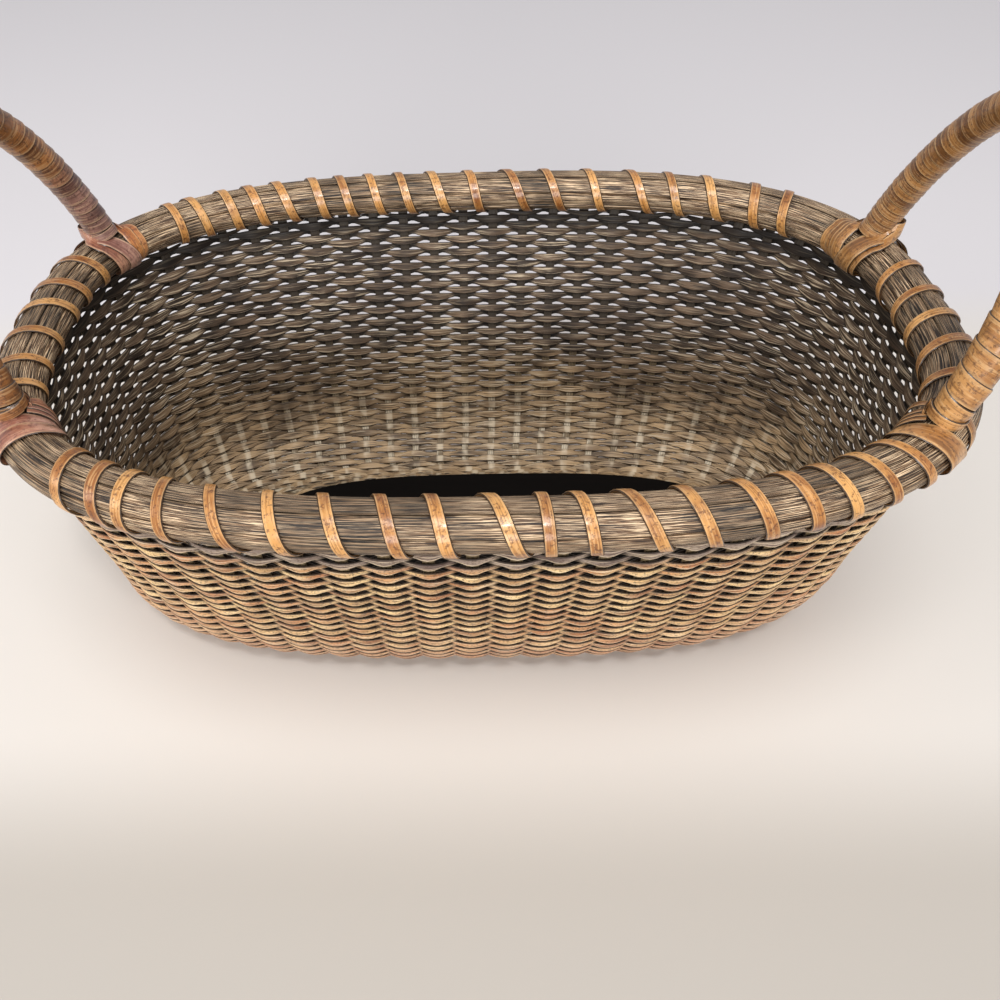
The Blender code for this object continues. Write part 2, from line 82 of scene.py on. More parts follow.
def oval(half_length, half_width, squareness, angle):
    power = 2.0 / squareness
    c, s = np.cos(angle), np.sin(angle)
    x = half_length * np.sign(c) * np.abs(c) ** power
    y = half_width * np.sign(s) * np.abs(s) ** power
    return x, y


TABLE_ANGLES = np.linspace(0.0, 2.0 * math.pi, 7201)
table_x, table_y = oval(RIM_HALF_LENGTH, RIM_HALF_WIDTH, RIM_SQUARENESS, TABLE_ANGLES)
table_steps = np.hypot(np.diff(table_x), np.diff(table_y))
TABLE_TRAVEL = np.concatenate(([0.0], np.cumsum(table_steps)))
RIM_LENGTH = float(TABLE_TRAVEL[-1])
STAVE_PITCH = RIM_LENGTH / STAVE_COUNT


def oval_angle(step):
    return np.interp((step * STAVE_PITCH) % RIM_LENGTH, TABLE_TRAVEL, TABLE_ANGLES)


def unit(vectors):
    return vectors / np.linalg.norm(vectors, axis=-1, keepdims=True)


def rim_outward(step):
    x, y = oval(RIM_HALF_LENGTH, RIM_HALF_WIDTH, RIM_SQUARENESS, oval_angle(step))
    power = RIM_SQUARENESS - 1.0
    nx = np.sign(x) * np.abs(x / RIM_HALF_LENGTH) ** power / RIM_HALF_LENGTH
    ny = np.sign(y) * np.abs(y / RIM_HALF_WIDTH) ** power / RIM_HALF_WIDTH
    return unit(np.stack([nx, ny, np.zeros_like(nx)], axis=-1))


def rim_place(step, out, up):
    """Points at steps round the rim, moved outwards and up from its centre line."""
    step = np.asarray(step, float)
    x, y = oval(RIM_HALF_LENGTH, RIM_HALF_WIDTH, RIM_SQUARENESS, oval_angle(step))
    middle = np.stack([x, y, np.full_like(x, RIM_HEIGHT)], axis=-1)
    lift = np.stack([np.zeros_like(x), np.zeros_like(x), np.broadcast_to(up, x.shape)], axis=-1)
    return middle + rim_outward(step) * np.broadcast_to(out, x.shape)[..., None] + lift


print("once round the rim, mm:", round(RIM_LENGTH / MM, 1), "stave pitch:", round(STAVE_PITCH / MM, 2))

# %% [markdown]
# The bowl's wall is described by rows of shares between the board and the rim: how far it has
# spread along the basket, how far across it, how high it has climbed, and how much of the
# board's small shift towards the right end is left. A smooth curve through the rows gives a
# rounded wall, where straight pieces would show as bands.

# %% The bowl's surface
PROFILE_SHARES = np.array([
    (0.0, 0.0, 0.0, 1.0),
    (0.52, 0.145, 0.0, 0.0),
    (0.70, 0.42, 0.09, 0.0),
    (0.786, 0.567, 0.22, 0.0),
    (0.825, 0.65, 0.365, 0.0),
    (0.98, 0.98, 0.91, 0.0),
    (1.0, 1.0, 0.97, 0.0),
])


def profile_lengths():
    """Distance travelled up the wall at each row, as a mean of the wide side and the end."""
    out_x = (RIM_HALF_LENGTH - BOARD_HALF_LENGTH) * PROFILE_SHARES[:, 0]
    out_y = (RIM_HALF_WIDTH - BOARD_HALF_WIDTH) * PROFILE_SHARES[:, 1]
    rise = (RIM_HEIGHT - GROOVE_LEVEL) * PROFILE_SHARES[:, 2]
    end = np.hypot(np.diff(out_x), np.diff(rise))
    side = np.hypot(np.diff(out_y), np.diff(rise))
    return np.concatenate(([0.0], np.cumsum((end + side) / 2.0)))


PROFILE_TRAVEL = profile_lengths()
WALL_LENGTH = float(PROFILE_TRAVEL[-1])


def smooth_through(knots, values, at):
    """A smooth curve through values at knots."""
    slopes = np.gradient(values, knots)
    low = np.clip(np.searchsorted(knots, at) - 1, 0, len(knots) - 2)
    span = knots[low + 1] - knots[low]
    t = (at - knots[low]) / span
    return ((2 * t**3 - 3 * t**2 + 1) * values[low] + (t**3 - 2 * t**2 + t) * span * slopes[low]
            + (3 * t**2 - 2 * t**3) * values[low + 1] + (t**3 - t**2) * span * slopes[low + 1])


def bowl_middle(step, climb):
    """The bowl's middle surface, at steps round it and at distances up the wall."""
    columns = [smooth_through(PROFILE_TRAVEL, shares, climb) for shares in PROFILE_SHARES.T]
    spread_x, spread_y, rise, shift = columns
    half_length = BOARD_HALF_LENGTH + (RIM_HALF_LENGTH - BOARD_HALF_LENGTH) * spread_x
    half_width = BOARD_HALF_WIDTH + (RIM_HALF_WIDTH - BOARD_HALF_WIDTH) * spread_y
    squareness = BOARD_SQUARENESS + (RIM_SQUARENESS - BOARD_SQUARENESS) * spread_y
    x, y = oval(half_length, half_width, squareness, oval_angle(step))
    z = GROOVE_LEVEL + (RIM_HEIGHT - GROOVE_LEVEL) * rise
    return np.stack([x + BOARD_SHIFT * shift, y, z], axis=-1)


NUDGE_STEPS = 0.05
NUDGE_CLIMB = 0.2 * MM


def bowl_outward(step, climb):
    along = bowl_middle(step + NUDGE_STEPS, climb) - bowl_middle(step - NUDGE_STEPS, climb)
    up = bowl_middle(step, climb + NUDGE_CLIMB) - bowl_middle(step, climb - NUDGE_CLIMB)
    return unit(np.cross(along, up))


print("wall from board to rim, mm:", round(WALL_LENGTH / MM, 1))

# %% [markdown]
# Weavers, staves, lashings and wraps are all flat strips with rounded edges. One helper makes
# them: a grid is rolled round a centre line, its seam is merged and its ends are filled. The
# UV map keeps the distance along the strip in metres, and the share of the way round it:
# a quarter is the middle of the outer face and three quarters the middle of the inner face.
# One number more, the mark, is kept at each place along the strip. A finish can read it to tell
# one stretch or one band from another.

# %% A flat strip along a path
SECTION_SIDES = np.array((1.0, 1.0, 0.0, -1.0, -1.0, -1.0, 0.0, 1.0, 1.0))
SECTION_TOPS = np.array((0.0, 0.8, 1.0, 0.8, 0.0, -0.8, -1.0, -0.8, 0.0))
SECTION_CORNERS = np.array((0.0, 1.0, 0.0, 1.0, 0.0, 1.0, 0.0, 1.0, 0.0))
EDGE_ROUND = 0.25 * MM
EDGE_ROUND_SHARE = 0.4


def lines_along(centres, closed):
    if closed:
        return unit(np.roll(centres, -1, axis=0) - np.roll(centres, 1, axis=0))
    return unit(np.gradient(centres, axis=0))


def rolled_grid(name, points, marks=0.0):
    """A mesh from rows of points, each row once round a section, made from a flat grid."""
    rows, corners = points.shape[:2]
    bm = bmesh.new()
    bm.loops.layers.uv.new("UVMap")
    bmesh.ops.create_grid(bm, x_segments=rows - 1, y_segments=corners - 1, size=0.5, calc_uvs=True)
    mesh = bpy.data.meshes.new(name)
    bm.to_mesh(mesh)
    bm.free()
    flat = np.zeros(len(mesh.vertices) * 3)
    mesh.vertices.foreach_get("co", flat)
    flat = flat.reshape(-1, 3)
    row = np.rint((flat[:, 0] + 0.5) * (rows - 1)).astype(int)
    corner = np.rint((flat[:, 1] + 0.5) * (corners - 1)).astype(int)
    mesh.vertices.foreach_set("co", points[row, corner].ravel())
    marks = np.broadcast_to(marks, rows).astype(float)
    mesh.attributes.new("mark", "FLOAT", "POINT").data.foreach_set("value", marks[row])
    return mesh


def stretch_uv(mesh, lengths):
    """Turns the grid's first UV coordinate into the distance along the strip, in metres."""
    uv = np.zeros(len(mesh.loops) * 2)
    layer = mesh.uv_layers["UVMap"].uv
    layer.foreach_get("vector", uv)
    uv = uv.reshape(-1, 2)
    uv[:, 0] = np.interp(uv[:, 0], np.linspace(0.0, 1.0, len(lengths)), lengths)
    layer.foreach_set("vector", uv.ravel())


def close_up(mesh, merge=MERGE):
    """Merges the seam, fills open ends and turns every face outwards."""
    bm = bmesh.new()
    bm.from_mesh(mesh)
    bmesh.ops.remove_doubles(bm, verts=bm.verts, dist=merge)
    bmesh.ops.holes_fill(bm, edges=[edge for edge in bm.edges if edge.is_boundary])
    bmesh.ops.recalc_face_normals(bm, faces=bm.faces)
    bm.to_mesh(mesh)
    bm.free()
    mesh.shade_smooth()
    mesh.set_sharp_from_angle(angle=math.radians(38.0))
    return mesh


def strip(name, centres, faces, half_width, half_thickness, marks=0.0, closed=False):
    """A closed strip with its broad side towards faces."""
    along = lines_along(centres, closed)
    face = unit(faces - along * np.sum(faces * along, axis=1, keepdims=True))
    across = np.cross(along, face)
    half_width = np.broadcast_to(half_width, len(centres))[:, None]
    edge_round = np.minimum(EDGE_ROUND, EDGE_ROUND_SHARE * half_width)
    side = SECTION_SIDES * (half_width - edge_round * SECTION_CORNERS)
    top = SECTION_TOPS * half_thickness
    points = (centres[:, None, :] + across[:, None, :] * side[:, :, None]
              + face[:, None, :] * top[None, :, None])
    if closed:
        points = np.concatenate((points, points[:1]))
        centres = np.concatenate((centres, centres[:1]))
    points[:, -1] = points[:, 0]
    mesh = rolled_grid(name, points, marks)
    travel = np.linalg.norm(np.diff(centres, axis=0), axis=1)
    stretch_uv(mesh, np.concatenate(([0.0], np.cumsum(travel))))
    return close_up(mesh)


def joined(name, meshes):
    """One mesh from several, for strips that belong to one piece."""
    bm = bmesh.new()
    for mesh in meshes:
        bm.from_mesh(mesh)
    whole = bpy.data.meshes.new(name)
    bm.to_mesh(whole)
    bm.free()
    whole.shade_smooth()
    whole.set_sharp_from_angle(angle=math.radians(38.0))
    for mesh in meshes:
        bpy.data.meshes.remove(mesh)
    return whole


def add_piece(name, mesh, material, replaced):
    """Puts a finished mesh on the basket, in place of the plain nodes that it stands for."""
    piece = bpy.data.objects.new(name, mesh)
    mesh.materials.append(material)
    bpy.context.scene.collection.objects.link(piece)
    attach(piece, "root")
    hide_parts(*replaced)
    triangles = sum(len(face.vertices) - 2 for face in mesh.polygons)
    print(name, "triangles:", triangles)
    return piece


# %% [markdown]
# A material is a small chain of nodes. These helpers name the links of the chain, so that each
# finish further down reads as a recipe: a value, a noise, a share between two limits and a
# blend of two colours. Colours are written as they look on screen and turned into light values.

# %% Helpers for materials


def colour(red, green, blue):
    """Light values of a screen colour given from 0 to 255."""
    def light(value):
        value = value / 255.0
        return value / 12.92 if value <= 0.04045 else ((value + 0.055) / 1.055) ** 2.4
    return (light(red), light(green), light(blue), 1.0)


def feed(tree, socket, value):
    if isinstance(value, bpy.types.NodeSocket):
        tree.links.new(value, socket)
    else:
        socket.default_value = value


def calculate(tree, operation, first, second=0.0):
    node = tree.nodes.new("ShaderNodeMath")
    node.operation = operation
    feed(tree, node.inputs[0], first)
    feed(tree, node.inputs[1], second)
    return node.outputs[0]


def share_between(tree, value, low, high):
    """Nought below low, one above high, and smooth between them."""
    node = tree.nodes.new("ShaderNodeMapRange")
    node.interpolation_type = "SMOOTHSTEP"
    feed(tree, node.inputs["Value"], value)
    feed(tree, node.inputs["From Min"], low)
    feed(tree, node.inputs["From Max"], high)
    return node.outputs["Result"]


def blend(tree, share, first, second):
    node = tree.nodes.new("ShaderNodeMix")
    node.data_type = "RGBA"
    feed(tree, node.inputs[0], share)
    feed(tree, node.inputs[6], first)
    feed(tree, node.inputs[7], second)
    return node.outputs[2]


def vector_of(tree, x, y, z=0.0):
    node = tree.nodes.new("ShaderNodeCombineXYZ")
    feed(tree, node.inputs[0], x)
    feed(tree, node.inputs[1], y)
    feed(tree, node.inputs[2], z)
    return node.outputs[0]


def noise(tree, vector, scale, detail=2.0, roughness=0.5):
    node = tree.nodes.new("ShaderNodeTexNoise")
    node.inputs["Scale"].default_value = scale
    node.inputs["Detail"].default_value = detail
    node.inputs["Roughness"].default_value = roughness
    feed(tree, node.inputs["Vector"], vector)
    return node.outputs[0]


def strip_coordinates(tree):
    """Distance along a strip in metres, and the share of the way round its section."""
    node = tree.nodes.new("ShaderNodeUVMap")
    node.uv_map = "UVMap"
    parts = tree.nodes.new("ShaderNodeSeparateXYZ")
    tree.links.new(node.outputs[0], parts.inputs[0])
    return parts.outputs[0], parts.outputs[1]


def mark_of(tree):
    """The mark kept along a strip."""
    node = tree.nodes.new("ShaderNodeAttribute")
    node.attribute_name = "mark"
    return node.outputs["Fac"]


def place_coordinates(tree):
    """Place on the basket, as one vector and as its three parts."""
    node = tree.nodes.new("ShaderNodeTexCoord")
    parts = tree.nodes.new("ShaderNodeSeparateXYZ")
    tree.links.new(node.outputs["Object"], parts.inputs[0])
    return node.outputs["Object"], parts.outputs[0], parts.outputs[1], parts.outputs[2]


def new_material(name):
    material = bpy.data.materials.new(name)
    material.use_nodes = True
    return material, material.node_tree, material.node_tree.nodes["Principled BSDF"]


def bump(tree, shader, height, distance, strength=1.0):
    node = tree.nodes.new("ShaderNodeBump")
    node.inputs["Strength"].default_value = strength
    node.inputs["Distance"].default_value = distance
    feed(tree, node.inputs["Height"], height)
    tree.links.new(node.outputs[0], shader.inputs["Normal"])


# %% [markdown]
# Cane is the outer skin of rattan, split into flat strips. It has fine lines along it, dark
# cut edges, and a satin shine. Outside, the weave has kept a tan colour, greyer under the
# rim, with a painted highlight along the lower edge of each strand. Inside it is a grey brown,
# partly from age and partly painted shade: darker higher up, less so near the base, and
# nearly black as painted shadow right under the rim. Where a strand turns away behind a stave,
# painted shade darkens it on either face. One material does both: the UV map says which face
# of the strip a point is on.

# %% Finish of the weave


def make_weave_finish():
    material, tree, shader = new_material("weave_cane")
    along, round_share = strip_coordinates(tree)
    where, _, _, height = place_coordinates(tree)
    mark = mark_of(tree)
    turn = calculate(tree, "MULTIPLY", round_share, 2.0 * math.pi)
    outer_face = share_between(tree, calculate(tree, "SINE", turn), -0.45, 0.1)
    towards_low_edge = calculate(tree, "COSINE", turn)
    cut_edge = share_between(tree, calculate(tree, "ABSOLUTE", towards_low_edge), 0.74, 0.93)
    # Mask for a painted highlight along the lower edge of each strand.
    low_edge = share_between(tree, towards_low_edge, 0.30, 0.62)
    fibre_place = vector_of(tree, calculate(tree, "MULTIPLY", along, 75.0),
                            calculate(tree, "MULTIPLY", round_share, 21.0))
    fibres = noise(tree, fibre_place, 1.0, 3.0, 0.6)
    lines = share_between(tree, fibres, 0.53, 0.62)
    grooves = share_between(tree, fibres, 0.47, 0.39)
    tone_place = vector_of(tree, calculate(tree, "MULTIPLY", along, 62.0), 0.0)
    tone = share_between(tree, noise(tree, tone_place, 1.0, 1.0), 0.34, 0.66)
    warmth_place = vector_of(tree, calculate(tree, "MULTIPLY", along, 47.0), 7.3)
    warmth = share_between(tree, noise(tree, warmth_place, 1.0, 1.0), 0.46, 0.64)
    patches = share_between(tree, noise(tree, where, 28.0, 2.0), 0.35, 0.65)
    specks = share_between(tree, noise(tree, where, 1500.0, 2.0, 0.7), 0.51, 0.61)

    tan = blend(tree, tone, colour(166, 108, 62), colour(255, 216, 152))
    tan = blend(tree, calculate(tree, "MULTIPLY", warmth, 0.6), tan, colour(206, 130, 76))
    pink = share_between(tree, height, 0.044, 0.014)
    tan = blend(tree, calculate(tree, "MULTIPLY", pink, 0.75), tan, colour(192, 138, 104))
    grey = blend(tree, tone, colour(116, 98, 90), colour(162, 142, 128))
    outside = blend(tree, share_between(tree, height, 0.0795, 0.0825), tan, grey)
    outside = blend(tree, calculate(tree, "MULTIPLY", specks, 0.65), outside, colour(84, 54, 34))
    outside = blend(tree, calculate(tree, "MULTIPLY", lines, 0.6), outside, colour(252, 230, 194))
    outside = blend(tree, calculate(tree, "MULTIPLY", grooves, 0.65), outside, colour(76, 46, 28))
    # Painted highlight: a pale line along the lower edge of each strand on the outer face.
    outside = blend(tree, calculate(tree, "MULTIPLY", low_edge, 0.35), outside, colour(250, 228, 190))
    # Painted shade: the outer face goes nearly black where the strand turns inwards behind a stave.
    outside_recess_painted_shade = share_between(tree, mark, 0.25, -0.50)
    outside = blend(tree, calculate(tree, "MULTIPLY", outside_recess_painted_shade, 0.92), outside, colour(20, 12, 8))

    # Inside, darker higher up and paler near the base: partly the cane's age, partly painted shade, broken up by
    # random patches.
    dark = blend(tree, tone, colour(58, 46, 37), colour(120, 98, 78))
    pale = blend(tree, tone, colour(114, 92, 68), colour(196, 163, 122))
    age_and_shade_height = calculate(tree, "ADD", height, calculate(tree, "MULTIPLY", patches, -0.016))
    inside = blend(tree, share_between(tree, age_and_shade_height, 0.000, 0.050), pale, dark)
    streaks = calculate(tree, "MULTIPLY", lines, calculate(tree, "ADD", 0.35, patches))
    inside = blend(tree, calculate(tree, "MULTIPLY", streaks, 0.75), inside, colour(212, 192, 162))
    inside = blend(tree, calculate(tree, "MULTIPLY", grooves, 0.8), inside, colour(36, 28, 22))
    shade = share_between(tree, height, 0.004, 0.050)
    worn = share_between(tree, noise(tree, where, 130.0, 2.0, 0.6), 0.42, 0.62)
    rubbed = calculate(tree, "MULTIPLY", share_between(tree, mark, -0.86, -0.98), worn)
    rubbed = calculate(tree, "MULTIPLY", rubbed, share_between(tree, height, 0.034, 0.010))
    inside = blend(tree, calculate(tree, "MULTIPLY", rubbed, 0.75), inside, colour(226, 208, 178))
    # Painted shadow: the inner face goes nearly black right under the rim.
    under_rim_painted_shadow = share_between(tree, height, 0.0835, 0.0875)
    inside = blend(tree, calculate(tree, "MULTIPLY", under_rim_painted_shadow, 0.85), inside, colour(20, 15, 12))
    # Painted shade: the inner face goes dark where the strand turns outwards behind a stave, less so near the
    # base.
    inside_recess_painted_shade = calculate(tree, "MULTIPLY", share_between(tree, mark, -0.05, 0.60), shade)
    inside = blend(tree, calculate(tree, "MULTIPLY", inside_recess_painted_shade, 0.80), inside, colour(18, 15, 12))

    face_colour = blend(tree, outer_face, inside, outside)
    edge_colour = blend(tree, outer_face, colour(22, 18, 15), colour(46, 28, 18))
    full = blend(tree, calculate(tree, "MULTIPLY", cut_edge, 0.85), face_colour, edge_colour)
    feed(tree, shader.inputs["Base Color"], full)
    feed(tree, shader.inputs["Roughness"],
         calculate(tree, "ADD", 0.38, calculate(tree, "MULTIPLY", fibres, 0.25)))
    shader.inputs["Specular IOR Level"].default_value = 0.45
    bump(tree, shader, fibres, 0.2 * MM, 0.8)
    return material


WEAVE_FINISH = make_weave_finish()
print("made", WEAVE_FINISH.name)

# %% [markdown]
# The weave is one endless weaver. Because there is an odd number of staves, a single strip
# that goes over one and under the next comes round to the other side of each stave on the
# following turn, so it can spiral from the board to the rim without a break. Its distance from
# the wall's middle is a cosine of the steps. The rows are closer together near the base. The
# strip is widest where it floats over a stave, and less so near the rim, where light comes
# through the weave. Its last turn is trimmed to a thin end that lies level under the rim. The
# spiral is cut into three tiers only to keep each mesh a moderate size, and its mark says how
# far out the strip is: one outside a stave, minus one inside.

# %% The weave
WEAVE_TURNS = 52
WEAVE_SEGMENTS = 8
ROW_PITCH_LOW = 1.75 * MM
ROW_PITCH_HIGH = 2.35 * MM
WEAVE_START = 1.6 * MM
WEAVE_TOP = 90.1 * MM
WEAVE_CEILING = 91.0 * MM
OVER_SHARES = (0.0, 0.2, 0.45, 0.85, 1.0)
WIDTH_SHARES_LOW = (0.98, 0.98, 1.24, 1.43, 1.44)
WIDTH_SHARES_HIGH = (0.88, 0.92, 1.04, 1.16, 1.32)
LOWER_EDGE_RISE = 0.55
OPEN_BETWEEN = (0.40, 0.68)
END_WALL_WIDER = 0.24
END_WALL_FLATTER = 0.12
WEAVER_END_HALF_WIDTH = 0.2 * MM
WEAVER_HALF_THICKNESS = 0.37 * MM
WAVE_LOW = 0.95 * MM
WAVE_HIGH = 1.3 * MM
ROW_WANDER = 0.10 * MM
TIERS = ("lower", "middle", "upper")


def climb_at(height):
    """Distance up the wall at which the middle surface reaches a height."""
    climbs = np.linspace(0.0, WALL_LENGTH, 2000)
    heights = bowl_middle(np.zeros(1), climbs)[:, 2]
    return float(np.interp(height, heights, climbs))


def row_share(share):
    """Share of the wall climbed at a share of the turns, with closer rows at the base."""
    mean = (ROW_PITCH_LOW + ROW_PITCH_HIGH) / 2.0
    return (ROW_PITCH_LOW * share + (ROW_PITCH_HIGH - ROW_PITCH_LOW) * share**2 / 2.0) / mean


def wander(step, seed):
    """A slow, even wandering between -1 and 1."""
    waves = ((0.71, 0.5), (0.293, 0.3), (1.37, 0.2))
    return sum(size * np.sin(rate * step + seed * (3 + index)) for index, (rate, size) in enumerate(waves))


def weaver_strip(name, first_turn, last_turn):
    count = int((last_turn - first_turn) * STAVE_COUNT * WEAVE_SEGMENTS)
    step = np.linspace(first_turn * STAVE_COUNT, last_turn * STAVE_COUNT, count + 1)
    share = step / ((WEAVE_TURNS - 1) * STAVE_COUNT)
    climb = WEAVE_START + (climb_at(WEAVE_TOP) - WEAVE_START) * row_share(share)
    climb = climb + ROW_WANDER * wander(step, 1.7)
    pitch = ROW_PITCH_LOW + (ROW_PITCH_HIGH - ROW_PITCH_LOW) * share
    over_stave = np.abs(np.cos(math.pi * (step - 0.5)))
    low_width = np.interp(over_stave, OVER_SHARES, WIDTH_SHARES_LOW)
    high_width = np.interp(over_stave, OVER_SHARES, WIDTH_SHARES_HIGH)
    spread = low_width + (high_width - low_width) * np.interp(share, OPEN_BETWEEN, (0.0, 1.0))
    end_wall = np.abs(rim_outward(step)[:, 0])
    spread = spread * (1.0 + END_WALL_WIDER * end_wall)
    outside = np.maximum(np.cos(math.pi * (step - 0.5)), 0.0)
    shoulder = 2.6 * outside * (1.0 - outside**2) * np.interp(share, OPEN_BETWEEN, (0.0, 1.0))
    low_edge = climb - pitch * (spread - LOWER_EDGE_RISE * shoulder) / 2.0
    high_edge = np.minimum(climb + pitch * spread / 2.0, climb_at(WEAVE_CEILING))
    half_width = np.maximum((high_edge - low_edge) / 2.0, WEAVER_END_HALF_WIDTH)
    climb = high_edge - half_width
    wave = WAVE_LOW + (WAVE_HIGH - WAVE_LOW) * share
    wave = wave * (1.0 + 0.07 * wander(step * 1.9, 4.1)) * (1.0 - END_WALL_FLATTER * end_wall)
    out = wave * np.cos(math.pi * (step - 0.5))
    normal = bowl_outward(step, climb)
    centres = bowl_middle(step, climb) + normal * out[:, None]
    return strip(name, centres, normal, half_width, WEAVER_HALF_THICKNESS, marks=out / wave)


for index, tier in enumerate(TIERS):
    first = WEAVE_TURNS * index / len(TIERS)
    last = WEAVE_TURNS * (index + 1) / len(TIERS)
    tier_mesh = weaver_strip("weave_" + tier, first, last)
    add_piece("weave_" + tier, tier_mesh, WEAVE_FINISH,
              ("weave_outer_face", "weave_inner_face"))

# %% [markdown]
# The staves are thin uprights with a few ridges along them. They stand in the groove of the
# base board, follow the wall, and end between the two halves of the rim. Each is narrower at
# its foot, where there is less room.

# %% Staves
STAVE_HALF_WIDTH_TOP = 1.65 * MM
STAVE_HALF_WIDTH_FOOT = 1.15 * MM
STAVE_HALF_THICKNESS = 0.48 * MM
STAVE_POINTS = 30
STAVE_RIDGES = 9.0


def make_stave_finish():
    material, tree, shader = new_material("stave_wood")
    along, round_share = strip_coordinates(tree)
    where, _, _, height = place_coordinates(tree)
    ridge_turn = calculate(tree, "MULTIPLY", round_share, 2.0 * math.pi * STAVE_RIDGES)
    ridges = calculate(tree, "ADD", calculate(tree, "MULTIPLY", calculate(tree, "SINE", ridge_turn), 0.5), 0.5)
    grain_place = vector_of(tree, calculate(tree, "MULTIPLY", along, 90.0),
                            calculate(tree, "MULTIPLY", round_share, 40.0))
    grain = noise(tree, grain_place, 1.0, 3.0)
    wood = blend(tree, grain, colour(92, 74, 54), colour(176, 152, 112))
    turn = calculate(tree, "MULTIPLY", round_share, 2.0 * math.pi)
    # The inner face is darker higher up: partly age, partly painted shade, as on the weave.
    inner = share_between(tree, calculate(tree, "SINE", turn), 0.2, -0.2)
    upper = share_between(tree, height, 0.020, 0.055)
    upper_inner_age_and_shade = calculate(tree, "MULTIPLY", calculate(tree, "MULTIPLY", inner, upper), 0.9)
    wood = blend(tree, upper_inner_age_and_shade, wood, colour(40, 32, 26))
    low_inside = calculate(tree, "MULTIPLY", inner, share_between(tree, height, 0.032, 0.012))
    worn = share_between(tree, noise(tree, where, 210.0, 2.0), 0.42, 0.60)
    wood = blend(tree, calculate(tree, "MULTIPLY", low_inside, 0.6), wood, colour(136, 116, 88))
    wood = blend(tree, calculate(tree, "MULTIPLY", calculate(tree, "MULTIPLY", low_inside, worn), 0.8),
                 wood, colour(232, 216, 188))
    wood = blend(tree, calculate(tree, "MULTIPLY", ridges, 0.35), wood, colour(52, 42, 32))
    feed(tree, shader.inputs["Base Color"], wood)
    shader.inputs["Roughness"].default_value = 0.6
    bump(tree, shader, calculate(tree, "ADD", ridges, grain), 0.1 * MM, 0.7)
    return material


def stave_strip(index):
    foot = bowl_middle(np.array([index + 0.5]), np.array([0.0]))[0]
    inwards = -bowl_outward(np.array([index + 0.5]), np.array([0.3 * MM]))[0]
    climbs = np.linspace(0.0, climb_at(WEAVE_TOP), STAVE_POINTS)
    steps = np.full_like(climbs, index + 0.5)
    wall = bowl_middle(steps, climbs)
    tips = rim_place(np.full(3, index + 0.5), 0.0, np.array([-6.5, 0.0, 4.2]) * MM)
    toward = unit(bowl_middle(np.array([index + 0.5]), np.array([2.0 * MM])) - foot[None, :])[0]
    root = foot - toward * 2.4 * MM
    centres = np.concatenate((root[None, :], wall, tips))
    normal = bowl_outward(steps, climbs)
    top_normal = rim_outward(np.full(3, index + 0.5))
    faces = np.concatenate((-inwards[None, :], normal, top_normal))
    widths = np.linspace(STAVE_HALF_WIDTH_FOOT, STAVE_HALF_WIDTH_TOP, len(centres))
    return strip("stave", centres, faces, widths, STAVE_HALF_THICKNESS)


STAVE_FINISH = make_stave_finish()
stave_mesh = joined("staves_split", [stave_strip(index) for index in range(STAVE_COUNT)])
add_piece("staves_split", stave_mesh, STAVE_FINISH, ("staves",))

# %% [markdown]
# The base board is a dark stained oval. Its shape in the measured model is right, so it stays
# and only gets a finish: faint grain along its length and a satin shine.

# %% Base board


def make_board_finish():
    material, tree, shader = new_material("board_wood")
    where, along, across, _ = place_coordinates(tree)
    grain_place = vector_of(tree, calculate(tree, "MULTIPLY", along, 18.0),
                            calculate(tree, "MULTIPLY", across, 420.0))
    grain = noise(tree, grain_place, 1.0, 4.0, 0.6)
    stain = blend(tree, grain, colour(4, 3, 3), colour(15, 11, 9))
    feed(tree, shader.inputs["Base Color"], stain)
    shader.inputs["Roughness"].default_value = 0.62
    shader.inputs["Specular IOR Level"].default_value = 0.10
    bump(tree, shader, grain, 0.08 * MM, 0.5)
    return material


def repaint(node_name, material):
    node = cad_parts[node_name]
    node.data.materials.clear()
    node.data.materials.append(material)
    print("repainted", node_name)


repaint("base_board", make_board_finish())

# %% [markdown]
# The rim is a bundle of splints: three on its outer side, three on its inner side and one on
# top. Each half is a ring whose section follows an ellipse, with a furrow where two splints
# meet. The furrows wander along the rim and change their depth, as split wood does, so the
# section is worked out afresh at each place round the rim.

# %% Rim splints
RIM_ROWS_PER_STEP = 6
SPLINT_POINTS = 12
SPLINT_CROWN = 0.28 * MM
FURROW_DEPTH = 0.75 * MM
SEAM_DEGREES = (-86.0, -30.0, 22.0, 76.0)
SEAM_WANDER_DEGREES = 9.0
FURROW_CHANGE = 0.45
SLOT_HALF = 0.75 * MM


def make_splint_finish():
    material, tree, shader = new_material("rim_splint_wood")
    along, round_share = strip_coordinates(tree)
    where, _, _, _ = place_coordinates(tree)
    coarse_place = vector_of(tree, calculate(tree, "MULTIPLY", along, 55.0),
                             calculate(tree, "MULTIPLY", round_share, 34.0))
    fine_place = vector_of(tree, calculate(tree, "MULTIPLY", along, 85.0),
                           calculate(tree, "MULTIPLY", round_share, 96.0))
    coarse = noise(tree, coarse_place, 1.0, 3.0, 0.6)
    fine = noise(tree, fine_place, 1.0, 3.0, 0.65)
    patches = share_between(tree, noise(tree, where, 55.0, 2.0), 0.38, 0.62)
    wood = blend(tree, share_between(tree, coarse, 0.42, 0.58), colour(27, 19, 14), colour(134, 106, 78))
    wood = blend(tree, calculate(tree, "MULTIPLY", patches, 0.40), wood, colour(132, 94, 62))
    streak = calculate(tree, "MULTIPLY", share_between(tree, fine, 0.52, 0.58),
                       calculate(tree, "ADD", 0.35, patches))
    wood = blend(tree, calculate(tree, "MULTIPLY", streak, 0.95), wood, colour(234, 204, 166))
    crack = share_between(tree, fine, 0.490, 0.435)
    wood = blend(tree, calculate(tree, "MULTIPLY", crack, 0.92), wood, colour(22, 16, 13))
    feed(tree, shader.inputs["Base Color"], wood)
    feed(tree, shader.inputs["Roughness"],
         calculate(tree, "ADD", 0.38, calculate(tree, "MULTIPLY", coarse, 0.25)))
    bump(tree, shader, calculate(tree, "ADD", fine, coarse), 0.22 * MM, 0.9)
    return material


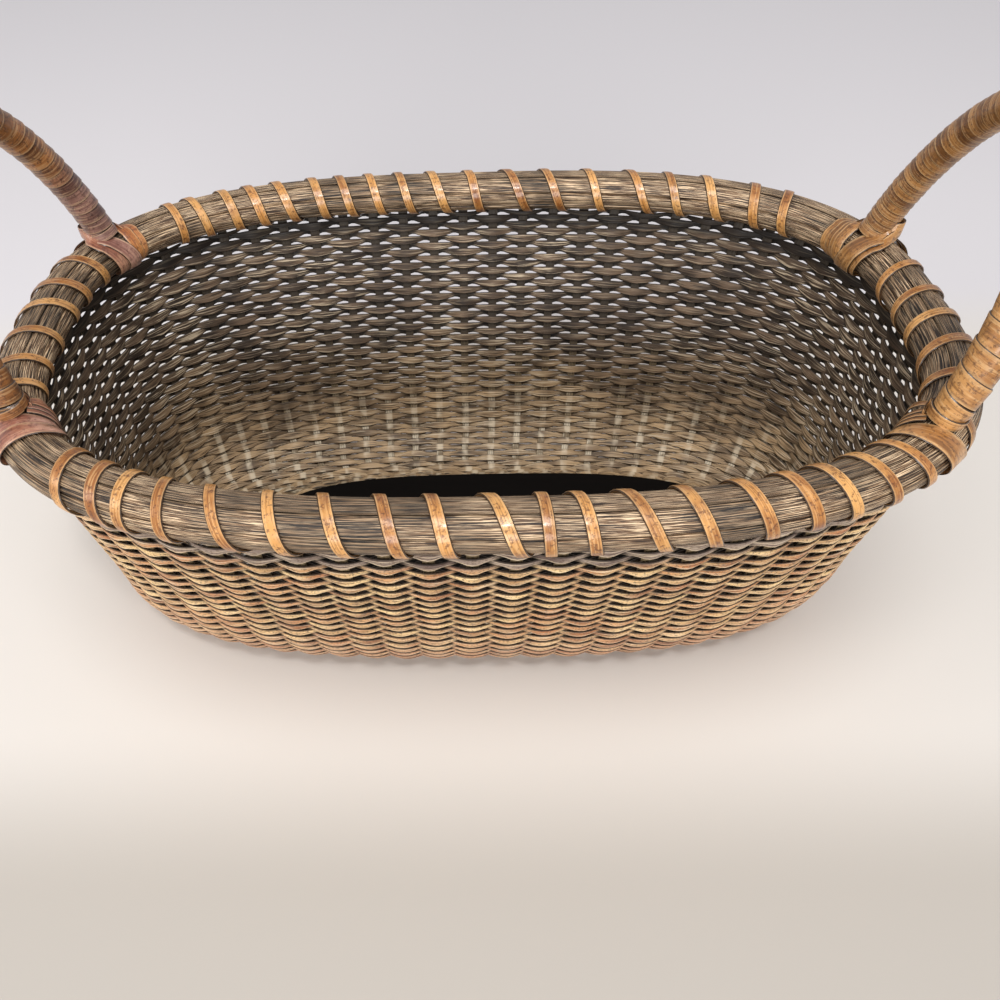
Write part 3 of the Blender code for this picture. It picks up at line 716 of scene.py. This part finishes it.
def splint_section(side, steps):
    """Section points at each step: arcs of splints, then the flat side along the staves."""
    seams = []
    for index, degrees in enumerate(SEAM_DEGREES):
        loose = 0.0 if index in (0, len(SEAM_DEGREES) - 1) else SEAM_WANDER_DEGREES
        seams.append(np.radians(degrees + loose * wander(steps * 0.23, 2.0 + index + side)))
    furrow = FURROW_DEPTH * (1.0 - FURROW_CHANGE * (1.0 + wander(steps * 0.37, 6.0 + side)) / 2.0)
    outs, ups = [], []
    for index in range(len(seams) - 1):
        swell = 0.12 * MM * wander(steps * 0.31, 5.0 + 2 * index + side)
        for share in np.linspace(0.0, 1.0, SPLINT_POINTS):
            angle = seams[index] + (seams[index + 1] - seams[index]) * share
            crown = SPLINT_CROWN * (1.0 - (2.0 * share - 1.0) ** 2) + swell
            depth = furrow if share in (0.0, 1.0) else 0.0
            lift = crown - depth - SPLINT_CROWN
            outs.append((RIM_HALF_THICKNESS + lift) * np.cos(angle))
            ups.append((RIM_HALF_DEPTH + lift) * np.sin(angle))
    top = ups[-1]
    low = ups[0]
    outs.append(np.full_like(steps, SLOT_HALF))
    ups.append(top)
    outs.append(np.full_like(steps, SLOT_HALF))
    ups.append(low)
    outs = np.stack(outs, axis=1)
    ups = np.stack(ups, axis=1)
    return np.maximum(outs, SLOT_HALF) * side, ups


def ring_mesh(name, outs, ups, steps):
    """A ring from sections round the rim."""
    points = np.stack([rim_place(steps, outs[:, k], ups[:, k]) for k in range(outs.shape[1])], axis=1)
    points = np.concatenate((points, points[:, :1]), axis=1)
    points = np.concatenate((points, points[:1]), axis=0)
    mesh = rolled_grid(name, points)
    stretch_uv(mesh, np.linspace(0.0, RIM_LENGTH, len(points)))
    return close_up(mesh)


SPLINT_FINISH = make_splint_finish()
rim_steps = np.arange(STAVE_COUNT * RIM_ROWS_PER_STEP) / RIM_ROWS_PER_STEP
for name, side in (("inner", -1.0), ("outer", 1.0)):
    outs, ups = splint_section(side, rim_steps)
    hoop_mesh = ring_mesh("rim_splints_" + name, outs, ups, rim_steps)
    add_piece("rim_splints_" + name, hoop_mesh, SPLINT_FINISH, ("rim_hoop_" + name,))

cover_centres = rim_place(rim_steps, 0.25 * MM * wander(rim_steps * 0.4, 8.0), RIM_HALF_DEPTH - 0.25 * MM)
cover_faces = np.tile((0.0, 0.0, 1.0), (len(rim_steps), 1))
cover_mesh = strip("rim_splint_cover", cover_centres, cover_faces, 2.0 * MM, 0.42 * MM, closed=True)
add_piece("rim_splint_cover", cover_mesh, SPLINT_FINISH, ("rim_top_splint",))

# %% [markdown]
# Cane for lashing and winding has a warmer, honey colour, with faint lines, brown flecks and
# a brighter shine, and a painted highlight along both edges of each strip, inside the dark cut
# edge. The same recipe serves the rim, the golden right handle, the darker left one
# and the pinkish bands at its feet. Each has two pairs of tones, and a strip's mark says which
# pair a stretch of it takes.

# %% Finish of the lashing cane


def make_cane_finish(name, plain_tones, marked_tones, fleck, fleck_share):
    material, tree, shader = new_material(name)
    along, round_share = strip_coordinates(tree)
    where, _, _, _ = place_coordinates(tree)
    mark = mark_of(tree)
    fibre_place = vector_of(tree, calculate(tree, "MULTIPLY", along, 80.0),
                            calculate(tree, "MULTIPLY", round_share, 24.0))
    fibres = noise(tree, fibre_place, 1.0, 3.0, 0.6)
    turn_tone = noise(tree, vector_of(tree, calculate(tree, "MULTIPLY", along, 34.0), 3.0), 1.0, 1.0)
    patches = noise(tree, where, 260.0, 3.0, 0.6)
    tone = calculate(tree, "ADD", calculate(tree, "MULTIPLY", turn_tone, 0.7),
                     calculate(tree, "MULTIPLY", patches, 0.3))
    tone = share_between(tree, tone, 0.40, 0.60)
    flecks = share_between(tree, noise(tree, where, 1000.0, 3.0, 0.7), 0.52, 0.64)
    turn = calculate(tree, "MULTIPLY", round_share, 2.0 * math.pi)
    tip = calculate(tree, "ABSOLUTE", calculate(tree, "COSINE", turn))
    # Mask for a painted highlight along both edges of every strip.
    painted_highlight_edge = share_between(tree, tip, 0.50, 0.70)
    cut_edge = share_between(tree, tip, 0.72, 0.86)
    plain = blend(tree, tone, *plain_tones)
    marked = blend(tree, tone, *marked_tones)
    cane = blend(tree, mark, plain, marked)
    light = blend(tree, 0.4, blend(tree, mark, plain_tones[1], marked_tones[1]), colour(244, 214, 164))
    cane = blend(tree, calculate(tree, "MULTIPLY", share_between(tree, fibres, 0.53, 0.62), 0.45), cane, light)
    cane = blend(tree, calculate(tree, "MULTIPLY", share_between(tree, fibres, 0.47, 0.38), 0.5), cane, fleck)
    cane = blend(tree, calculate(tree, "MULTIPLY", flecks, fleck_share), cane, fleck)
    # Painted highlight along both edges of every strip.
    cane = blend(tree, calculate(tree, "MULTIPLY", painted_highlight_edge, 0.45), cane, light)
    cane = blend(tree, calculate(tree, "MULTIPLY", cut_edge, 0.95), cane, colour(44, 26, 15))
    feed(tree, shader.inputs["Base Color"], cane)
    feed(tree, shader.inputs["Roughness"],
         calculate(tree, "ADD", 0.22, calculate(tree, "MULTIPLY", fibres, 0.26)))
    shader.inputs["Coat Weight"].default_value = 0.35
    shader.inputs["Coat Roughness"].default_value = 0.16
    bump(tree, shader, calculate(tree, "ADD", fibres, flecks), 0.08 * MM, 0.6)
    return material


LASHING_FINISH = make_cane_finish(
    "lashing_cane", (colour(140, 82, 38), colour(206, 142, 74)), (colour(166, 108, 54), colour(222, 168, 100)),
    colour(88, 46, 20), 0.7)
RIGHT_FINISH = make_cane_finish(
    "handle_cane_right", (colour(112, 72, 38), colour(172, 122, 70)), (colour(160, 108, 58), colour(206, 152, 92)),
    colour(80, 48, 26), 0.6)
LEFT_FINISH = make_cane_finish(
    "handle_cane_left", (colour(104, 66, 40), colour(164, 108, 60)), (colour(98, 66, 58), colour(152, 112, 98)),
    colour(62, 36, 28), 0.6)
LEFT_FOOT_FINISH = make_cane_finish(
    "foot_cane_left", (colour(170, 98, 48), colour(210, 142, 80)), (colour(138, 90, 76), colour(204, 156, 138)),
    colour(92, 48, 36), 0.6)
print("made", LASHING_FINISH.name, RIGHT_FINISH.name, LEFT_FINISH.name)

# %% [markdown]
# The rim lashing is one narrow strip in each run. It climbs the inside of the rim, slants over
# the top and down the outside, and passes under the rim between two staves. Where the turns
# cross the top is read from the photograph: in millimetres along the basket for the front and
# the back, and across it for the two ends. A turn is seen at its top edge as it crosses, so
# each side has its own phase of the crossing: nought is under the rim, a half is its very top.

# %% Rim lashing
LASH_HALF_WIDTH = 1.55 * MM
LASH_HALF_THICKNESS = 0.36 * MM
LASH_AIR = 0.12 * MM
LASH_POINTS = 28
LASH_FREE_STEPS = 0.2
LASH_CROSSINGS = {
    "back": (101, 92, 77, 65, 53, 39, 24.5, 12, -1, -14, -25, -35, -45, -54, -66, -75, -83, -93, -99),
    "left": (29, 16, 5.5, -7.5, -21, -32),
    "front": (-98.5, -90, -82.5, -73.5, -62.5, -49, -36, -23, -11.5, 2, 13, 21.5, 32.5, 44.5, 58, 69, 77.5,
              87, 95.5),
    "right": (-34, -20, -8.5, 3, 16),
}
LASH_CROSSING_PHASES = {"back": 0.58, "left": 0.5, "front": 0.44, "right": 0.5}
LASH_CROSSING_SHARES = {"back": 0.62, "left": 0.5, "front": 0.38, "right": 0.5}


def rim_step(side, share):
    """Steps to the place where one side of the rim has this share of the rim's half size."""
    turned = math.copysign(abs(share) ** (RIM_SQUARENESS / 2.0), share)
    angle = {"right": math.asin(turned), "left": math.pi - math.asin(turned),
             "back": math.acos(turned), "front": -math.acos(turned)}[side]
    return float(np.interp(angle % (2.0 * math.pi), TABLE_ANGLES, TABLE_TRAVEL)) / STAVE_PITCH


def smoothed(values, reach):
    """Values evened out over their neighbours, with the ends held."""
    window = np.hanning(2 * reach + 3)
    padded = np.concatenate((np.full(reach + 1, values[0]), values, np.full(reach + 1, values[-1])))
    return np.convolve(padded, window / window.sum(), mode="valid")


def lashing_steps(run, phase):
    """Steps round the rim along a run: through the crossings, and under the rim between staves."""
    half_size = RIM_HALF_LENGTH if run in ("back", "front") else RIM_HALF_WIDTH
    over = [rim_step(run, place * MM / half_size) for place in LASH_CROSSINGS[run]]
    over = np.unwrap(over, period=STAVE_COUNT)
    over = np.concatenate(([2 * over[0] - over[1]], over, [2 * over[-1] - over[-2]]))
    under = over[:-1] + np.diff(over) * (1.0 - LASH_CROSSING_SHARES[run])
    under = np.clip(under, np.rint(under) - LASH_FREE_STEPS, np.rint(under) + LASH_FREE_STEPS)
    passes = np.arange(len(under))
    knots = np.concatenate((passes, passes[:-1] + LASH_CROSSING_PHASES[run]))
    places = np.concatenate((under, over[1:-1]))
    order = np.argsort(knots)
    return smoothed(np.interp(phase, knots[order], places[order]), LASH_POINTS // 5)


def lashing_strip(run):
    turns = len(LASH_CROSSINGS[run])
    phase = np.linspace(0.0, turns, turns * LASH_POINTS + 1)
    step = lashing_steps(run, phase)
    angle = -2.0 * math.pi * phase - math.pi / 2.0
    clear = LASH_AIR + LASH_HALF_THICKNESS
    centres = rim_place(step, (RIM_HALF_THICKNESS + clear) * np.cos(angle),
                        (RIM_HALF_DEPTH + clear) * np.sin(angle))
    faces = rim_outward(step) * (np.cos(angle) / RIM_HALF_THICKNESS)[:, None]
    faces[:, 2] += np.sin(angle) / RIM_HALF_DEPTH
    half_width = LASH_HALF_WIDTH * (1.0 + 0.10 * wander(phase * 1.3, 2.2))
    marks = 0.5 + 0.5 * wander(np.floor(phase) * 2.6, 3.1)
    return strip("lashing_cane_" + run, centres, faces, half_width, LASH_HALF_THICKNESS, marks=marks)


for run, crossings in LASH_CROSSINGS.items():
    add_piece("lashing_cane_" + run, lashing_strip(run), LASHING_FINISH, ("rim_lashing_" + run,))
    print(run, "turns:", len(crossings))

# %% [markdown]
# Each handle is a bent rod with flat cane wound closely round it. The turns lie over one
# another like shingles, so the strip is tilted a little. A level turn ends the winding at each
# foot and lies over the last slanting one. On the right handle the turns are narrow on the back
# leg and wide on the front leg. The mark tells the finish where the tone changes: the
# left handle is redder at its back foot, the right one paler on its front leg.

# %% Handles
FOOT_STEPS = {(side, foot): rim_step(side, HANDLE_FOOT_SHARES[side][index])
              for side in HANDLE_FOOT_SHARES for index, foot in enumerate(("back", "front"))}
WRAP_POINTS = 22
WRAP_HALF_THICKNESS = 0.34 * MM
WRAP_RADIUS = ROD_RADIUS + 0.95 * MM
WRAP_LIP = 0.24 * MM
WRAP_OVERLAP = 0.3 * MM
WRAP_FOOT_CLEARANCE = 1.55 * MM
WRAP_END_RISE = 0.38 * MM
WRAP_END_HALF_WIDTH = 1.5 * MM
WRAP_PITCH_PLACES = (0.0, 0.05, 0.45, 0.65, 0.93, 1.0)
WRAP_PITCHES = {"left": (3.0, 4.0, 4.3, 4.5, 4.8, 3.2), "right": (2.4, 2.5, 2.8, 5.2, 6.2, 3.6)}
WRAP_MARK_PLACES = {"left": (0.13, 0.20), "right": (0.60, 0.40)}


def handle_frame(side):
    """Middle of the feet, the reach to the back foot, and the way up the leaning handle."""
    steps = np.array([FOOT_STEPS[side, "back"], FOOT_STEPS[side, "front"]])
    back, front = rim_place(steps, 0.0, RIM_HALF_DEPTH)
    reach = (back - front) / 2.0
    outwards = unit(np.cross(reach, (0.0, 0.0, 1.0)))
    outwards = outwards * np.sign(outwards[0] * back[0])
    lean = outwards * math.sin(HANDLE_LEAN) + np.array((0.0, 0.0, math.cos(HANDLE_LEAN)))
    return (back + front) / 2.0, reach, lean


def handle_points(side, angle):
    """Points of the arch: angle 0 is the back foot and pi the front foot."""
    middle, reach, lean = handle_frame(side)
    along, height = oval(1.0, HANDLE_HEIGHT, HANDLE_SQUARENESS, angle)
    return middle + np.multiply.outer(along, reach) + np.multiply.outer(height, lean)


def arch_table(side):
    angles = np.linspace(0.0, math.pi, 721)
    points = handle_points(side, angles)
    travel = np.concatenate(([0.0], np.cumsum(np.linalg.norm(np.diff(points, axis=0), axis=1))))
    return angles, travel


def wrap_strip(side):
    angles, travel = arch_table(side)
    places = np.linspace(WRAP_FOOT_CLEARANCE, travel[-1] - WRAP_FOOT_CLEARANCE, 2000)
    shares = places / travel[-1]
    pitches = np.interp(shares, WRAP_PITCH_PLACES, WRAP_PITCHES[side]) * MM
    turns = np.concatenate(([0.0], np.cumsum(np.diff(places) / pitches[:-1])))
    phase = np.linspace(-1.0, turns[-1] + 1.0, int((turns[-1] + 2.0) * WRAP_POINTS))
    place = np.interp(phase, turns, places)
    past_end = np.maximum(-phase, 0.0) + np.maximum(phase - turns[-1], 0.0)
    axis = handle_points(side, np.interp(place, travel, angles))
    nudge = 0.5 * MM
    ahead = handle_points(side, np.interp(place + nudge, travel, angles))
    behind = handle_points(side, np.interp(place - nudge, travel, angles))
    along = unit(ahead - behind)
    _, reach, lean = handle_frame(side)
    flat = unit(np.cross(reach, lean))
    up = np.cross(flat, along)
    turn = 2.0 * math.pi * phase
    normal = flat[None, :] * np.cos(turn)[:, None] + up * np.sin(turn)[:, None]
    loose = 0.06 * MM * wander(phase * 2.3, 1.0)
    centres = axis + normal * (WRAP_RADIUS + loose + WRAP_END_RISE * past_end)[:, None]
    half_width = np.interp(place, places, pitches) / 2.0 + WRAP_OVERLAP
    to_end = np.clip(np.minimum(phase, turns[-1] - phase), 0.0, 1.0)
    half_width = WRAP_END_HALF_WIDTH + (half_width - WRAP_END_HALF_WIDTH) * to_end
    faces = unit(normal + along * (WRAP_LIP / half_width)[:, None])
    full, none = WRAP_MARK_PLACES[side]
    marks = np.clip((place / travel[-1] - none) / (full - none), 0.0, 1.0)
    return strip("handle_winding_" + side, centres, faces, half_width, WRAP_HALF_THICKNESS, marks=marks)


def make_rod_finish():
    material, tree, shader = new_material("handle_rod_wood")
    where, _, _, height = place_coordinates(tree)
    grain = noise(tree, where, 260.0, 3.0)
    wood = blend(tree, grain, colour(88, 60, 38), colour(146, 104, 64))
    feed(tree, shader.inputs["Base Color"], wood)
    shader.inputs["Roughness"].default_value = 0.55
    bump(tree, shader, grain, 0.1 * MM, 0.5)
    return material


ROD_FINISH = make_rod_finish()
for side, finish in (("left", LEFT_FINISH), ("right", RIGHT_FINISH)):
    add_piece("handle_winding_" + side, wrap_strip(side), finish,
              ("handle_wrap_" + side,))
    repaint("handle_core_" + side, ROD_FINISH)

# %% [markdown]
# Each handle foot is tied down with flat bands that cross like a V and an upside-down V. The
# model shows each arm of a band as a strip of its own. It leaves the bottom of the rim, slants
# up its face beside the rod and then goes round the far side of the rod, or over the top and
# down the other face, or ends at the top, tucked in under the rod. The arms of one foot lie in
# layers, each a little higher than the last, and an arm narrows at its hidden end, where the
# real band is pulled tight.

# %% Foot lashings
BAND_HALF_THICKNESS = 0.24 * MM
BAND_AIR = 0.2 * MM
BAND_LAYER_LIFT = 0.26 * MM
BAND_POINTS = 48
BAND_RISE = 1.3 * MM
BAND_RISE_PER_LAYER = 0.38 * MM
BAND_END_SHARE = 0.55
TUCKED_WITHIN_MM = 2.6
ARM_DEGREES = (-92.0, -70.0, -40.0, -10.0, 22.0, 48.0, 70.0)
OVER_DEGREES = (90.0, 110.0, 132.0, 155.0, 176.0)
ROUND_DEGREES = (32.0, 62.0, 90.0, 114.0)
OFFSET_DEGREES = (-90.0, 0.0, 85.0, 130.0, 170.0)
TOWARDS_MIDDLE = {("right", "back"): 1.0, ("left", "back"): -1.0, ("right", "front"): -1.0, ("left", "front"): 1.0}

# %% [markdown]
# One row for each arm: the face it climbs (minus one inside the basket, one outside), its mark,
# its half width in mm, and how far its middle is from the rod, in mm towards the middle of the
# long side: under the rim, at the face, at the top, and for an arm that goes over the top also
# at the top's far edge and on the far face. The faces that the photograph hides are guessed.

# %% The arms of each foot
OUTSIDE_BACK_ARMS = (
    (1, 0.8, 2.0, (-1.0, 4.0, 1.4)),
    (1, 0.5, 2.0, (0.0, 7.0, 2.0)),
    (1, 0.9, 1.8, (1.0, -4.0, -1.4)),
    (1, 0.6, 1.8, (0.5, -7.0, -2.0)),
)
INSIDE_FRONT_ARMS = (
    (-1, 0.7, 1.6, (0.0, 6.5, 2.4)),
    (-1, 0.9, 1.3, (9.0, 4.5, 0.8)),
    (-1, 0.4, 1.3, (6.0, 2.0, -1.0)),
    (-1, 0.6, 1.6, (1.0, -5.0, -2.2)),
)
FOOT_ARMS = {
    ("right", "back"): (
        (-1, 1.0, 1.9, (3.5, 11.5, 9.0)),
        (-1, 0.6, 1.9, (0.5, 9.0, 7.4)),
        (-1, 0.9, 1.9, (-0.5, 6.8, 6.0)),
        (-1, 0.9, 1.5, (0.5, -5.5, -9.0)),
        (-1, 1.0, 1.9, (-1.0, 4.8, 4.8)),
        (-1, 0.7, 3.1, (4.5, -1.0, -5.6)),
    ) + OUTSIDE_BACK_ARMS,
    ("left", "back"): (
        (-1, 0.1, 2.0, (3.0, 8.5, 7.5)),
        (-1, 0.0, 2.0, (4.0, 6.0, 5.4)),
        (-1, 0.7, 2.2, (1.0, -2.5, -7.0)),
        (-1, 1.0, 2.4, (5.0, 3.0, -4.5)),
    ) + OUTSIDE_BACK_ARMS,
    ("right", "front"): (
        (1, 0.6, 1.7, (0.0, -3.0, -5.0)),
        (1, 1.0, 3.5, (0.0, 3.5, 7.5, 9.5, 9.0)),
    ) + INSIDE_FRONT_ARMS,
    ("left", "front"): (
        (1, 0.7, 1.7, (0.0, -3.0, -5.0)),
        (1, 0.9, 2.6, (0.0, 2.8, 5.2, 7.6, 7.6)),
        (1, 0.8, 2.8, (-1.0, 6.0, 10.0, 13.0, 12.5)),
    ) + INSIDE_FRONT_ARMS,
}

# %% [markdown]
# An arm's route is a few points and the direction that its face looks in at each: round the
# rim's section first, then round the rod. A smooth curve through them gives the strip.

# %% Foot lashing strips


def smooth_path(points, count):
    """Evenly spread points of a smooth open curve through the given ones."""
    ends = np.concatenate((2 * points[:1] - points[1:2], points, 2 * points[-1:] - points[-2:-1]))
    t = np.linspace(0.0, len(points) - 1.0, count)
    low = np.minimum(np.floor(t).astype(int), len(points) - 2)
    t = (t - low)[:, None]
    p0, p1, p2, p3 = (ends[low + shift] for shift in range(4))
    return 0.5 * (2 * p1 + (p2 - p0) * t + (2 * p0 - 5 * p1 + 4 * p2 - p3) * t**2
                  + (3 * p1 - p0 - 3 * p2 + p3) * t**3)


def rod_axis_at(side, foot, rise):
    """Point of the rod's centre line at a height above the rim's top."""
    angle = math.asin((rise / (HANDLE_HEIGHT * math.cos(HANDLE_LEAN))) ** (HANDLE_SQUARENESS / 2.0))
    angle = angle if foot == "back" else math.pi - angle
    return handle_points(side, np.array([angle]))[0]


def arm_on_rim(place, facing, clear, offsets):
    """Points and faces of an arm round the rim's section."""
    over = len(offsets) == len(OFFSET_DEGREES)
    degrees = np.array(ARM_DEGREES + OVER_DEGREES if over else ARM_DEGREES)
    offset = np.interp(degrees, OFFSET_DEGREES[:len(offsets)], offsets) * MM
    step = FOOT_STEPS[place] + TOWARDS_MIDDLE[place] * offset / STAVE_PITCH
    out, up = facing * np.cos(np.radians(degrees)), np.sin(np.radians(degrees))
    points = rim_place(step, (RIM_HALF_THICKNESS + clear) * out, (RIM_HALF_DEPTH + clear) * up)
    faces = rim_outward(step) * (out / RIM_HALF_THICKNESS)[:, None]
    faces[:, 2] += up / RIM_HALF_DEPTH
    return points, unit(faces)


def arm_round_rod(place, facing, clear, hand, rise):
    """Points and faces of an arm round the far side of the rod."""
    outwards = rim_outward(np.array([FOOT_STEPS[place]]))[0]
    beside = np.cross((0.0, 0.0, 1.0), outwards) * TOWARDS_MIDDLE[place] * hand
    around = np.radians(ROUND_DEGREES)[:, None]
    faces = beside * np.cos(around) - outwards * facing * np.sin(around)
    radius = WRAP_RADIUS + WRAP_HALF_THICKNESS + clear
    return rod_axis_at(*place, rise) + faces * radius, faces


def foot_arm(place, layer, facing, mark, half_width, offsets):
    clear = BAND_AIR + BAND_HALF_THICKNESS + layer * BAND_LAYER_LIFT
    points, faces = arm_on_rim(place, facing, clear, offsets)
    if len(offsets) < len(OFFSET_DEGREES) and abs(offsets[-1]) > TUCKED_WITHIN_MM:
        rise = BAND_RISE + layer * BAND_RISE_PER_LAYER
        more = arm_round_rod(place, facing, clear, math.copysign(1.0, offsets[-1]), rise)
        points, faces = np.concatenate((points, more[0])), np.concatenate((faces, more[1]))
    centres = smooth_path(points, BAND_POINTS)
    faces = unit(smooth_path(faces, BAND_POINTS))
    taper = np.interp(np.linspace(0.0, 1.0, BAND_POINTS), (0.0, 0.6, 1.0), (1.0, 1.0, BAND_END_SHARE))
    return strip("arm", centres, faces, half_width * MM * taper, BAND_HALF_THICKNESS, marks=mark)


for place, arms in FOOT_ARMS.items():
    finish = LEFT_FOOT_FINISH if place[0] == "left" else RIGHT_FINISH
    ending = "_".join(place)
    strips = [foot_arm(place, layer % 6, *arm) for layer, arm in enumerate(arms)]
    names = ["foot_band_" + ending + "_" + layer for layer in ("inner", "outer")]
    add_piece("foot_lashing_" + ending, joined("foot_lashing_" + ending, strips), finish, names)

# %% [markdown]
# The stage is a plain pale table, with painted shade that darkens it towards the front. Beyond
# the basket it turns a cooler grey, like the backdrop in the photograph, so that no backdrop
# has to stand in the way of other views.

# %% Table
TABLE_HALF_SIZE = 2.5
TABLE_FRONT_PAINTED_SHADE = (-0.122, -0.068)
TABLE_TURNS_GREY = (0.112, 0.168)


def make_table_finish():
    material, tree, shader = new_material("table_paint")
    _, _, depth, _ = place_coordinates(tree)
    # Painted shade: the table is darker towards the front and reaches its full pale colour past the second limit.
    near = share_between(tree, depth, TABLE_FRONT_PAINTED_SHADE[0], TABLE_FRONT_PAINTED_SHADE[1])
    table = blend(tree, near, colour(192, 185, 176), colour(227, 221, 214))
    far = share_between(tree, depth, TABLE_TURNS_GREY[0], TABLE_TURNS_GREY[1])
    feed(tree, shader.inputs["Base Color"], blend(tree, far, table, colour(223, 219, 221)))
    shader.inputs["Roughness"].default_value = 0.7
    return material


def make_table():
    bm = bmesh.new()
    bmesh.ops.create_grid(bm, x_segments=1, y_segments=1, size=TABLE_HALF_SIZE)
    mesh = bpy.data.meshes.new("table")
    bm.to_mesh(mesh)
    bm.free()
    table = bpy.data.objects.new("table", mesh)
    mesh.materials.append(make_table_finish())
    bpy.context.scene.collection.objects.link(table)
    return table


make_table()
print("table half size, m:", TABLE_HALF_SIZE)

# %% [markdown]
# Soft studio light: a large lamp high above the front, a weaker one from the left, a small one
# for the glints, and an even, pale world that fills the shadows. A light as even as a far window
# comes in low from the front, to reach the wall under the rim.

# %% Light
WORLD_COLOUR = (0.86, 0.86, 0.88, 1.0)
WORLD_STRENGTH = 0.56


def add_lamp(name, place, target, size, power):
    lamp = bpy.data.lights.new(name, "AREA")
    lamp.shape = "DISK"
    lamp.size = size
    lamp.energy = power
    return aim(name, lamp, place, target)


def add_window_light(name, place, target, spread, strength):
    lamp = bpy.data.lights.new(name, "SUN")
    lamp.angle = spread
    lamp.energy = strength
    return aim(name, lamp, place, target)


def aim(name, lamp, place, target):
    thing = bpy.data.objects.new(name, lamp)
    bpy.context.scene.collection.objects.link(thing)
    back = unit(np.array(place) - np.array(target))
    side = unit(np.cross((0.0, 1.0, 0.0), back))
    up = np.cross(back, side)
    turn = Matrix((side, up, back)).transposed().to_4x4()
    thing.matrix_world = Matrix.Translation(place) @ turn
    return thing


def set_world():
    world = bpy.data.worlds.new("soft_world")
    world.use_nodes = True
    background = world.node_tree.nodes["Background"]
    background.inputs["Color"].default_value = WORLD_COLOUR
    background.inputs["Strength"].default_value = WORLD_STRENGTH
    bpy.context.scene.world = world


set_world()
add_lamp("lamp_above", (-0.02, -0.32, 1.08), (0.0, 0.0, 0.05), 0.45, 4.0)
add_lamp("lamp_glint", (0.05, -0.50, 0.90), (0.0, 0.0, 0.08), 0.11, 2.4)
add_lamp("lamp_left", (-0.9, -0.35, 0.6), (0.0, 0.0, 0.05), 0.5, 2.4)
add_window_light("window_front", (-0.05, -0.95, 0.30), (0.0, 0.0, 0.05), math.radians(30.0), 1.6)
print("world strength:", WORLD_STRENGTH)

# %% [markdown]
# The camera stands where the photograph was taken from: above and in front of the basket,
# looking steeply down. A small shift puts the picture's centre where it was.

# %% Camera
CAMERA_PLACE = (-5.46 * MM, -219.0 * MM, 249.8 * MM)
CAMERA_PITCH = 0.78
CAMERA_ROLL = -0.041
CAMERA_YAW = 0.035
CAMERA_LENS_MM = 33.32
CAMERA_SHIFT = (0.0638, -0.0138)


def make_camera():
    data = bpy.data.cameras.new("camera")
    data.sensor_fit = "HORIZONTAL"
    data.sensor_width = 36.0
    data.lens = CAMERA_LENS_MM
    data.shift_x, data.shift_y = CAMERA_SHIFT
    data.clip_start = 0.01
    camera = bpy.data.objects.new("camera", data)
    bpy.context.scene.collection.objects.link(camera)
    forward = np.array((0.0, math.cos(CAMERA_PITCH), -math.sin(CAMERA_PITCH)))
    level = np.array((1.0, 0.0, 0.0))
    up = np.cross(level, forward)
    right = math.cos(CAMERA_ROLL) * level + math.sin(CAMERA_ROLL) * up
    top = -math.sin(CAMERA_ROLL) * level + math.cos(CAMERA_ROLL) * up
    turn = Matrix((right, top, -forward)).transposed().to_4x4()
    yaw = Matrix.Rotation(CAMERA_YAW, 4, "Z")
    camera.matrix_world = Matrix.Translation(CAMERA_PLACE) @ yaw @ turn
    bpy.context.scene.camera = camera
    return camera


make_camera()
bpy.context.scene.view_settings.view_transform = "Standard"
print("camera lens, mm:", CAMERA_LENS_MM)
